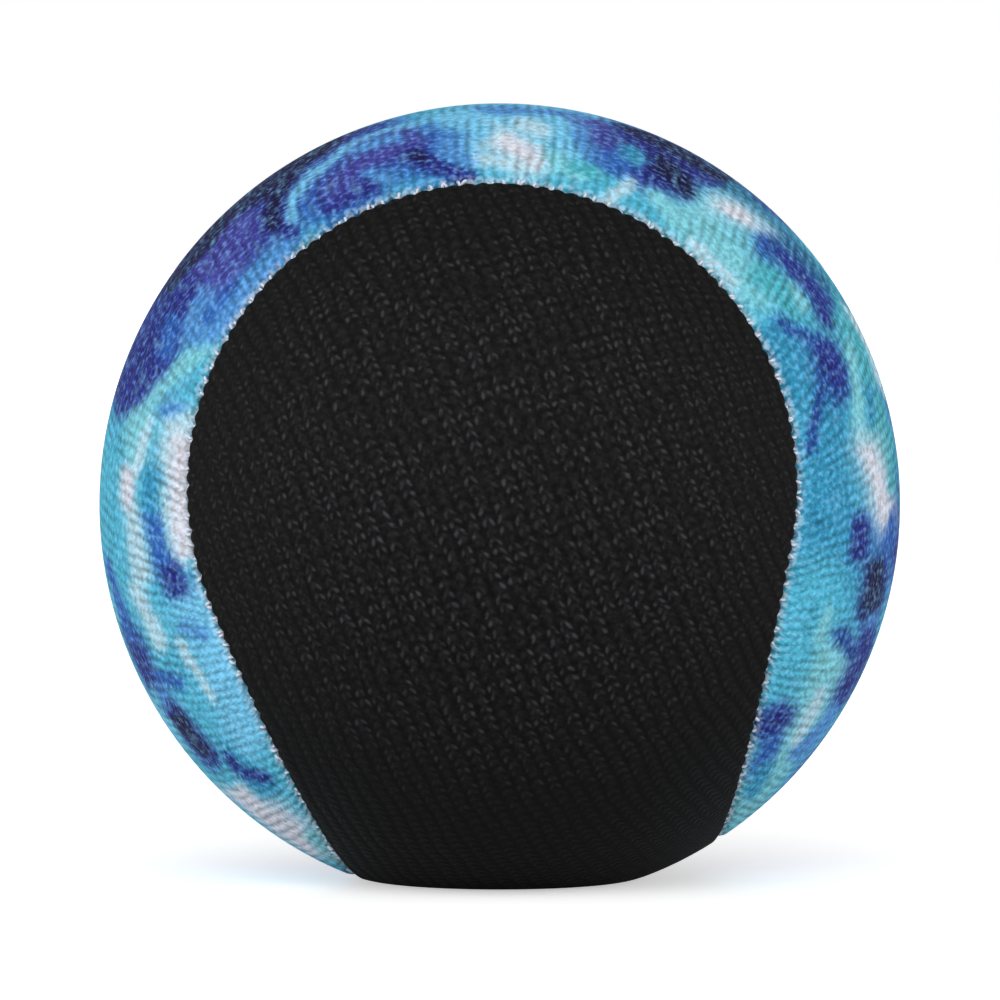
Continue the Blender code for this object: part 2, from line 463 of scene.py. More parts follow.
class Graph:
    """Adds nodes to one node tree and wires them."""

    # A mix node's sockets for colours, which follow those for values and vectors
    MIX_INPUTS = (6, 7)
    MIX_OUTPUT = 2

    def __init__(self, tree: bpy.types.NodeTree) -> None:
        """Works on the given tree."""
        self.tree = tree

    def add(self, kind: str, **settings: object) -> bpy.types.Node:
        """Adds a node.

        Args:
            kind: The node's type.
            settings: Its settings by name.

        Returns:
            The node.
        """
        node = self.tree.nodes.new(kind)
        for name, value in settings.items():
            setattr(node, name, value)
        return node

    def feed(self, socket: Socket, value: object) -> None:
        """Wires an output to a socket, or sets the socket to a plain value.

        Args:
            socket: The input.
            value: The output or the plain value.
        """
        if isinstance(value, Socket):
            self.tree.links.new(value, socket)
        else:
            socket.default_value = value

    def operate(self, kind: str, operation: str, values: tuple[object, ...]) -> Socket:
        """Adds a calculation.

        Args:
            kind: The node's type.
            operation: What it works out.
            values: Its inputs in order.

        Returns:
            The result.
        """
        node = self.add(kind, operation=operation)
        for socket, value in zip(node.inputs, values):
            self.feed(socket, value)
        return node.outputs[0]

    def calc(self, operation: str, *values: Socket | float) -> Socket:
        """Calculates with plain values."""
        return self.operate("ShaderNodeMath", operation, values)

    def vector(self, operation: str, *values: Socket | tuple[float, float, float]) -> Socket:
        """Calculates with vectors."""
        return self.operate("ShaderNodeVectorMath", operation, values)

    def product(self, first: Socket, second: Socket | float) -> Socket:
        """Multiplies two plain values."""
        return self.calc("MULTIPLY", first, second)

    def wave(self, turns: Socket) -> Socket:
        """Waves smoothly from 0 at whole turns to 1 between them."""
        swing = self.calc("COSINE", self.product(turns, 2 * math.pi))
        return self.calc("MULTIPLY_ADD", swing, -0.5, 0.5)

    def remap(
        self, value: Socket, low: float, high: float, start: float = 0.0, end: float = 1.0
    ) -> Socket:
        """Eases a value from one range to another.

        Args:
            value: The value to change.
            low: Value that becomes start.
            high: Value that becomes end.
            start: Result at and before low.
            end: Result at and after high.

        Returns:
            The eased value.
        """
        node = self.add("ShaderNodeMapRange", interpolation_type="SMOOTHSTEP")
        for socket, given in zip(node.inputs, (value, low, high, start, end)):
            self.feed(socket, given)
        return node.outputs[0]

    def mix(self, factor: Socket, first: Socket | Colour, second: Socket | Colour) -> Socket:
        """Mixes two colours.

        Args:
            factor: Share of the second colour.
            first: Colour or socket.
            second: Colour or socket.

        Returns:
            The mixed colour.
        """
        node = self.add("ShaderNodeMix", data_type="RGBA")
        self.feed(node.inputs["Factor"], factor)
        for index, colour in zip(self.MIX_INPUTS, (first, second)):
            self.feed(node.inputs[index], colour if isinstance(colour, Socket) else (*colour, 1.0))
        return node.outputs[self.MIX_OUTPUT]

    def scaled(self, vector: Socket, factor: Socket) -> Socket:
        """Lengthens a vector, or makes a colour lighter or darker.

        Args:
            vector: The vector or colour.
            factor: What it is multiplied by.

        Returns:
            The scaled vector or colour.
        """
        node = self.add("ShaderNodeVectorMath", operation="SCALE")
        self.feed(node.inputs[0], vector)
        self.feed(node.inputs["Scale"], factor)
        return node.outputs[0]

    def noise(
        self, place: Socket, scale: Socket | float, detail: float = 2.0, rough: float = 0.5
    ) -> Socket:
        """Adds cloudy noise from about 0.25 to 0.75.

        Args:
            place: Where it is read.
            scale: Clouds per unit of place.
            detail: Octaves of finer noise.
            rough: Strength of the finer octaves.

        Returns:
            The noise value.
        """
        node = self.add("ShaderNodeTexNoise")
        self.feed(node.inputs["Vector"], place)
        self.feed(node.inputs["Scale"], scale)
        self.feed(node.inputs["Detail"], detail)
        self.feed(node.inputs["Roughness"], rough)
        return node.outputs[0]

    def attribute(self, name: str, output: str = "Fac") -> Socket:
        """Reads a mesh attribute."""
        return self.add("ShaderNodeAttribute", attribute_name=name).outputs[output]

    def place(self, group: bpy.types.NodeTree, **values: object) -> bpy.types.Node:
        """Places a node group.

        Args:
            group: The group.
            values: Its inputs by name, in small letters.

        Returns:
            The placed group.
        """
        node = self.add("ShaderNodeGroup", node_tree=group)
        for name, value in values.items():
            self.feed(node.inputs[name.title()], value)
        return node

    def bump(self, height: Socket, distance: float) -> Socket:
        """Turns a height into a normal.

        Args:
            height: The height, from 0 to 1.
            distance: How far a height of 1 stands out.

        Returns:
            The normal.
        """
        node = self.add("ShaderNodeBump")
        self.feed(node.inputs["Distance"], distance)
        self.feed(node.inputs["Height"], height)
        return node.outputs["Normal"]


class NodeGroup:
    """A shader node group with named inputs and outputs, built once."""

    KINDS = {float: "NodeSocketFloat", Vector: "NodeSocketVector"}

    def __init__(self, name: str, inputs: dict[str, type], outputs: tuple[str, ...]) -> None:
        """Makes an empty group.

        Args:
            name: The group's name.
            inputs: Each input's name and kind.
            outputs: The names of the outputs, which are plain values.
        """
        self.tree = bpy.data.node_groups.new(name, "ShaderNodeTree")
        for label, kind in inputs.items():
            self.tree.interface.new_socket(label, in_out="INPUT", socket_type=self.KINDS[kind])
        for label in outputs:
            self.tree.interface.new_socket(label, in_out="OUTPUT", socket_type="NodeSocketFloat")
        self.graph = Graph(self.tree)
        self.given = self.graph.add("NodeGroupInput").outputs
        self.result = self.graph.add("NodeGroupOutput").inputs


def knit_loops_group() -> bpy.types.NodeTree:
    """Makes the loops of a stretch knit: columns of V-shaped stitches.

    Returns:
        A group that puts out the loops' height, a number for each leg of a loop, the height of its
        column and how near a place is to the middle of a leg.
    """
    wander_size = 0.005
    leg_climb = 0.6
    rib_power = 0.7
    loop_share = 0.55
    inputs = {"Grain": Vector, "Wale": float, "Course": float, "Wander": float}
    made = NodeGroup("knit_loops", inputs, ("Height", "Loop", "Rib", "Leg"))
    graph = made.graph
    wander = graph.add("ShaderNodeTexNoise")
    graph.feed(wander.inputs["Vector"], made.given["Grain"])
    graph.feed(wander.inputs["Scale"], 1.0 / wander_size)
    centred = graph.vector("SUBTRACT", wander.outputs["Color"], (0.5, 0.5, 0.5))
    shift = graph.scaled(centred, made.given["Wander"])
    place = graph.add("ShaderNodeSeparateXYZ")
    graph.feed(place.inputs[0], graph.vector("ADD", made.given["Grain"], shift))
    column = graph.calc("DIVIDE", place.outputs["X"], made.given["Wale"])
    side = graph.calc("MULTIPLY_ADD", graph.calc("FRACT", column), 2.0, -1.0)
    row = graph.calc("DIVIDE", place.outputs["Y"], made.given["Course"])
    climb = graph.calc("MULTIPLY_ADD", graph.calc("ABSOLUTE", side), leg_climb, row)
    rib = graph.calc("POWER", graph.wave(column), rib_power)
    loop = graph.calc("MULTIPLY_ADD", graph.wave(climb), loop_share, 1.0 - loop_share)
    legs = graph.product(column, 2.0)
    cell = graph.add("ShaderNodeCombineXYZ")
    graph.feed(cell.inputs["X"], graph.calc("FLOOR", legs))
    graph.feed(cell.inputs["Y"], graph.calc("FLOOR", climb))
    chance = graph.add("ShaderNodeTexWhiteNoise", noise_dimensions="2D")
    graph.feed(chance.inputs["Vector"], cell.outputs[0])
    graph.feed(made.result["Height"], graph.product(rib, loop))
    graph.feed(made.result["Loop"], chance.outputs["Value"])
    graph.feed(made.result["Rib"], rib)
    graph.feed(made.result["Leg"], graph.product(graph.wave(legs), graph.wave(climb)))
    return made.tree


def seam_edge_group() -> bpy.types.NodeTree:
    """Makes the change of a fabric towards the seam that it is sewn along.

    Returns:
        A group that puts out how stretched the edge is and how far into the fold it lies.
    """
    made = NodeGroup("seam_edge", {"Distance": float, "Width": float}, ("Rim", "Fold"))
    graph = made.graph
    share = graph.calc("DIVIDE", made.given["Distance"], made.given["Width"])
    graph.feed(made.result["Rim"], graph.remap(share, low=0.2, high=1.0, start=1.0, end=0.0))
    graph.feed(made.result["Fold"], graph.remap(share, low=0.0, high=0.45, start=1.0, end=0.0))
    return made.tree


def fuzz_group() -> bpy.types.NodeTree:
    """Makes the fine fibres that stand off a yarn.

    Returns:
        A group that puts out the fibres as a value about 0.5.
    """
    made = NodeGroup("yarn_fuzz", {"Place": Vector, "Fineness": float}, ("Fibre",))
    graph = made.graph
    scale = graph.calc("DIVIDE", 1.0, made.given["Fineness"])
    graph.feed(made.result["Fibre"], graph.noise(made.given["Place"], scale, detail=1.0))
    return made.tree


@dataclass(frozen=True)
class Effects:
    """The node groups that several finishes share.

    Attributes:
        loops: The loops of the knit.
        seam_edge: The change towards the seam.
        fuzz: Fine fibres.
    """

    loops: bpy.types.NodeTree
    seam_edge: bpy.types.NodeTree
    fuzz: bpy.types.NodeTree

    @classmethod
    def build(cls) -> "Effects":
        """Makes the groups."""
        return cls(knit_loops_group(), seam_edge_group(), fuzz_group())


def new_material(name: str) -> tuple[bpy.types.Material, Graph, bpy.types.Node]:
    """Makes a material with a plain Principled BSDF.

    Args:
        name: The material's name.

    Returns:
        The material, its graph and its shader.
    """
    material = bpy.data.materials.new(name)
    material.use_nodes = True
    return material, Graph(material.node_tree), material.node_tree.nodes["Principled BSDF"]


# Finishes


@dataclass(frozen=True)
class KnitFinish:
    """What both panels' fabrics have in common.

    Attributes:
        wale: Width of a column of stitches.
        course: Height of a row of stitches.
        wander: How far the columns stray from straight lines.
        relief: Height of the loops.
        fibre: Size of the finest fibres.
        fuzz: Height of the fibres, as a share of the loops' height.
        speck: Size of the lighter and darker specks in the yarn.
        rim: Width of the edge that is drawn round the seam's fold.
        roughness: Roughness from the smoothest yarn to the roughest.
        gloss: The yarn's specular level.
    """

    wale: float = 0.00107
    course: float = 0.00072
    wander: float = 0.0012
    relief: float = 0.0001
    fibre: float = 0.00012
    fuzz: float = 0.25
    speck: float = 0.0005
    rim: float = 0.0014
    roughness: Pair = (0.6, 0.8)
    gloss: float = 0.1

    # Height from which a loop is all crown
    CROWN = 0.9

    def loops(self, graph: Graph, effects: Effects) -> bpy.types.Node:
        """Places the knit's loops in a material.

        Args:
            graph: The material's graph.
            effects: The shared node groups.

        Returns:
            The placed group.
        """
        grain = graph.attribute("grain", "Vector")
        sizes = {"wale": self.wale, "course": self.course, "wander": self.wander}
        return graph.place(effects.loops, grain=grain, **sizes)

    def uneven(self, graph: Graph, effects: Effects, fineness: float) -> Socket:
        """Places fibres or specks of the given size in a material."""
        place = graph.attribute("grain", "Vector")
        return graph.place(effects.fuzz, place=place, fineness=fineness).outputs["Fibre"]

    def edge(self, graph: Graph, effects: Effects) -> bpy.types.Node:
        """Places the change towards the seam in a material."""
        return graph.place(effects.seam_edge, distance=graph.attribute("edge"), width=self.rim)

    def surface(self, graph: Graph, shader: bpy.types.Node, fibre: Socket, height: Socket) -> None:
        """Gives a material the yarn's roughness, relief and gloss.

        Args:
            graph: The material's graph.
            shader: Its shader.
            fibre: The fibres.
            height: The loops' height.
        """
        graph.feed(shader.inputs["Roughness"], graph.remap(fibre, *NOISE_SPAN, *self.roughness))
        raised = graph.calc("MULTIPLY_ADD", fibre, self.fuzz, height)
        graph.feed(shader.inputs["Normal"], graph.bump(raised, self.relief))
        graph.feed(shader.inputs["Specular IOR Level"], self.gloss)


@dataclass(frozen=True)
class BlackKnit(KnitFinish):
    """Black stretch knit with painted glints where the legs of its stitches catch the light, and painted
    shade away from the middles of its lobes.

    Attributes:
        ground: Colour between the loops, the black yarn darkened by painted shade in the knit's hollows.
        yarn: Colour of a loop's crown.
        painted_glint: Colour of a painted glint, where a stitch catches the light.
        glint_share: Share of the painted glints' colour on the brightest stitch.
        speckle: Share by which the specks change the brightness.
        waist_contrast: Share of its specks and painted glints that it keeps under its painted shade.
        waist_shade: Share of its brightness that it keeps far from a lobe's middle: painted shade.
        fold_shade: Share of the ground's colour painted into the fold at the seam as shade.
    """

    ground: Colour = linear((12, 12, 12))
    yarn: Colour = linear((23, 23, 24))
    painted_glint: Colour = linear((72, 72, 77))
    glint_share: float = 0.6
    speckle: float = 0.6
    waist_contrast: float = 0.25
    waist_shade: float = 0.55
    fold_shade: float = 0.6

    # Spans of the nearness to a lobe's middle over which specks and glints return and painted shade lifts
    WAIST_CONTRAST_SPAN = (0.1, 0.9)
    WAIST_SHADE_SPAN = (0.0, 0.9)
    # Spans of a stitch's number, of its specks and of the nearness to a leg over which painted glints light
    # up
    LIT_STITCH = (0.1, 1.0)
    LIT_SPECK = (0.35, 0.65)
    LIT_LEG = (0.05, 0.8)
    # Share of a painted glint's light that is left on a dark speck
    DULL_SPECK = 0.2

    def material(self, effects: Effects) -> bpy.types.Material:
        """Makes the finish.

        Args:
            effects: The shared node groups.

        Returns:
            The material.
        """
        material, graph, shader = new_material("black_knit")
        loops = self.loops(graph, effects)
        fibre = self.uneven(graph, effects, self.fibre)
        speck = self.uneven(graph, effects, self.speck)
        edge = self.edge(graph, effects)
        # The nearness to a lobe's middle masks the painted shade and the fading of the painted glints
        height, tight = loops.outputs["Height"], graph.attribute("lobe_nearness")
        # Painted shade: darker between the loops than on their crowns
        colour = graph.mix(graph.remap(height, 0.0, self.CROWN), self.ground, self.yarn)
        # Specks and painted glints fade where the painted shade deepens
        clear = graph.remap(tight, *self.WAIST_CONTRAST_SPAN, self.waist_contrast, 1.0)
        uneven = graph.product(graph.remap(speck, *NOISE_SPAN, -self.speckle, self.speckle), clear)
        colour = graph.scaled(colour, graph.calc("ADD", uneven, 1.0))
        # Painted glints: a paler colour on the legs of some stitches, as if they caught the light
        glint_share = graph.product(graph.remap(loops.outputs["Loop"], *self.LIT_STITCH, 0.0, self.glint_share), clear)
        glint_share = graph.product(glint_share, graph.remap(speck, *self.LIT_SPECK, self.DULL_SPECK, 1.0))
        crown = graph.product(graph.remap(loops.outputs["Leg"], *self.LIT_LEG), glint_share)
        colour = graph.mix(crown, colour, self.painted_glint)
        # Painted shade in the fold at the seam
        colour = graph.mix(graph.product(edge.outputs["Fold"], self.fold_shade), colour, self.ground)
        # Painted shade: darker away from the middles of the lobes
        colour = graph.scaled(colour, graph.remap(tight, *self.WAIST_SHADE_SPAN, self.waist_shade, 1.0))
        graph.feed(shader.inputs["Base Color"], colour)
        self.surface(graph, shader, fibre, height)
        return material


@dataclass(frozen=True)
class DyedKnit(KnitFinish):
    """Tie-dyed stretch knit: runs of dye over a cyan bath, with pale crowns on its loops.

    Attributes:
        rim_colour: Colour of the stretched edge, where undyed yarn shows.
        rim_share: Share of that colour on the edge's palest specks.
        faded: Colour of yarn that has taken little dye.
        streak: Width of the streaks in the dye.
        streak_fade: Share of the faded colour in the palest streaks.
        streak_shade: Brightness of the darkest streaks.
        crown_fade: Share of the faded colour on the palest crowns.
        groove_fade: The same share in the grooves between the columns, as a share of it on their crowns.
        patch: Size of the patches where the columns of stitches stand out.
        rib_shade: Painted shade and light from the grooves between the columns to their crowns.
        loop_shade: Painted shade and light from between the loops to their crowns.
        speck_shade: Brightness from the darkest specks to the lightest.
        stitch_shade: Brightness from the darkest stitch to the lightest.
    """

    wale: float = 0.00085
    course: float = 0.0006
    relief: float = 0.00012
    rim: float = 0.001
    gloss: float = 0.08
    rim_colour: Colour = linear((220, 232, 246))
    rim_share: float = 0.65
    faded: Colour = linear((132, 196, 238))
    streak: float = 0.0009
    streak_fade: float = 0.3
    streak_shade: float = 0.8
    crown_fade: float = 0.36
    groove_fade: float = 0.5
    patch: float = 0.004
    rib_shade: Pair = (0.74, 1.12)
    loop_shade: Pair = (0.92, 1.06)
    speck_shade: Pair = (0.77, 1.18)
    stitch_shade: Pair = (0.9, 1.1)

    # How streaks are drawn out along the columns
    STREAK_DRAW = (1.0, 0.4, 1.0)
    # Spans of the noises in which streaks pale or darken, columns stand out and specks pale
    PALE_STREAK = (0.5, 0.75)
    DARK_STREAK = (0.25, 0.5)
    RIBBED = (0.35, 0.65)
    PALE_SPECK = (0.48, 0.7)
    BARE_SPECK = (0.38, 0.62)
    # A column's mean height, and the span that counts as its crown
    MEAN_RIB = 0.75
    RIB_CROWN = (0.3, 1.0)

    def dyed(self, graph: Graph) -> Socket:
        """Streaks the dyed colour along the columns of stitches.

        Args:
            graph: The material's graph.

        Returns:
            The streaked colour.
        """
        drawn = graph.vector("MULTIPLY", graph.attribute("grain", "Vector"), self.STREAK_DRAW)
        streaks = graph.noise(drawn, 1.0 / self.streak, detail=3.0, rough=0.6)
        pale = graph.remap(streaks, *self.PALE_STREAK, 0.0, self.streak_fade)
        colour = graph.mix(pale, graph.attribute("dye", "Vector"), self.faded)
        return graph.scaled(colour, graph.remap(streaks, *self.DARK_STREAK, self.streak_shade, 1.0))

    def material(self, effects: Effects) -> bpy.types.Material:
        """Makes the finish.

        Args:
            effects: The shared node groups.

        Returns:
            The material.
        """
        material, graph, shader = new_material("dyed_knit")
        loops = self.loops(graph, effects)
        fibre = self.uneven(graph, effects, self.fibre)
        speck = self.uneven(graph, effects, self.speck)
        edge = self.edge(graph, effects)
        height, rib = loops.outputs["Height"], loops.outputs["Rib"]
        colour = self.dyed(graph)
        patches = graph.noise(graph.attribute("grain", "Vector"), 1.0 / self.patch)
        from_mean = graph.calc("SUBTRACT", rib, self.MEAN_RIB)
        ribs = graph.product(from_mean, graph.remap(patches, *self.RIBBED))
        # Painted shade in the grooves between columns and loops, and painted light on their crowns
        colour = graph.scaled(colour, graph.remap(ribs, -self.MEAN_RIB, 1 - self.MEAN_RIB, *self.rib_shade))
        colour = graph.scaled(colour, graph.remap(height, 0.0, self.CROWN, *self.loop_shade))
        colour = graph.scaled(colour, graph.remap(speck, *NOISE_SPAN, *self.speck_shade))
        colour = graph.scaled(colour, graph.remap(loops.outputs["Loop"], 0.0, 1.0, *self.stitch_shade))
        pale = graph.remap(speck, *self.PALE_SPECK, 0.0, self.crown_fade)
        crown = graph.product(graph.remap(rib, *self.RIB_CROWN, self.groove_fade, 1.0), pale)
        colour = graph.mix(crown, colour, self.faded)
        bare = graph.remap(speck, *self.BARE_SPECK, 0.0, self.rim_share)
        colour = graph.mix(graph.product(edge.outputs["Rim"], bare), colour, self.rim_colour)
        graph.feed(shader.inputs["Base Color"], colour)
        self.surface(graph, shader, fibre, height)
        return material


@dataclass(frozen=True)
class ThreadFinish:
    """White polyester sewing thread of twisted plies.

    Attributes:
        crown: Colour of a ply's crown.
        groove: Colour between the plies, darker as painted shade.
        relief: Depth of the grooves between the plies.
        fibre: Size of the finest fibres.
        fuzz: Height of the fibres, as a share of the plies' height.
        roughness: Roughness from the smoothest fibres to the roughest.
    """

    crown: Colour = linear((220, 230, 241))
    groove: Colour = linear((150, 162, 180))
    relief: float = 0.00003
    fibre: float = 0.00004
    fuzz: float = 0.3
    roughness: Pair = (0.45, 0.65)

    def material(self, effects: Effects) -> bpy.types.Material:
        """Makes the finish.

        Args:
            effects: The shared node groups.

        Returns:
            The material.
        """
        material, graph, shader = new_material("sewing_thread")
        turn = graph.calc("FRACT", graph.attribute("ply"))
        ply = graph.calc("PINGPONG", graph.product(turn, 2.0), 1.0)
        place = graph.add("ShaderNodeTexCoord").outputs["Object"]
        fibre = graph.place(effects.fuzz, place=place, fineness=self.fibre).outputs["Fibre"]
        raised = graph.calc("MULTIPLY_ADD", fibre, self.fuzz, ply)
        # Painted shade between the plies
        graph.feed(shader.inputs["Base Color"], graph.mix(raised, self.groove, self.crown))
        graph.feed(shader.inputs["Roughness"], graph.remap(fibre, *NOISE_SPAN, *self.roughness))
        graph.feed(shader.inputs["Normal"], graph.bump(raised, self.relief))
        return material


@dataclass(frozen=True)
class GelFinish:
    """Soft translucent gel, slightly cloudy.

    Attributes:
        clear: Colour of the clear gel.
        cloudy: Colour of its clouds.
        cloud: Size of the clouds.
        roughness: Roughness from the clear gel to its clouds.
        dent: Size of the dents that the knit leaves.
        dent_depth: Their depth.
        glow: Share of the light that goes into the gel.
        glow_depth: How deep it goes.
    """

    clear: Colour = (0.74, 0.79, 0.77)
    cloudy: Colour = (0.86, 0.88, 0.86)
    cloud: float = 0.006
    roughness: Pair = (0.3, 0.45)
    dent: float = 0.0006
    dent_depth: float = 0.00004
    glow: float = 0.4
    glow_depth: float = 0.004

    # The span of the noise in which the clear gel turns cloudy
    CLOUDING = (0.35, 0.65)

    def material(self, effects: Effects) -> bpy.types.Material:
        """Makes the finish.

        Args:
            effects: The shared node groups.

        Returns:
            The material.
        """
        material, graph, shader = new_material("soft_gel")
        place = graph.add("ShaderNodeTexCoord").outputs["Object"]
        cloud = graph.noise(place, 1.0 / self.cloud, detail=3.0)
        dents = graph.place(effects.fuzz, place=place, fineness=self.dent).outputs["Fibre"]
        colour = graph.mix(graph.remap(cloud, *self.CLOUDING), self.clear, self.cloudy)
        graph.feed(shader.inputs["Base Color"], colour)
        graph.feed(shader.inputs["Roughness"], graph.remap(cloud, *NOISE_SPAN, *self.roughness))
        graph.feed(shader.inputs["Normal"], graph.bump(dents, self.dent_depth))
        graph.feed(shader.inputs["Subsurface Weight"], self.glow)
        graph.feed(shader.inputs["Subsurface Scale"], self.glow_depth)
        return material


# Dye


# How sharply a run ends at its sides
CRISP = 3.0
SOFT = 2.0


@dataclass(frozen=True)
class DyeRun:
    """A run of dye, drawn with a round brush along a path.

    Places are seen from the front: degrees clockwise from the top, and degrees away from the middle of
    the front, where 90 is the ball's outline.

    Attributes:
        dye: The dye.
        half_width: Half the run's width, in millimetres.
        path: The places that it goes through.
        fade: How sharply it ends at its sides.
    """

    dye: Dye
    half_width: float
    path: tuple[Pair, ...]
    fade: float = CRISP


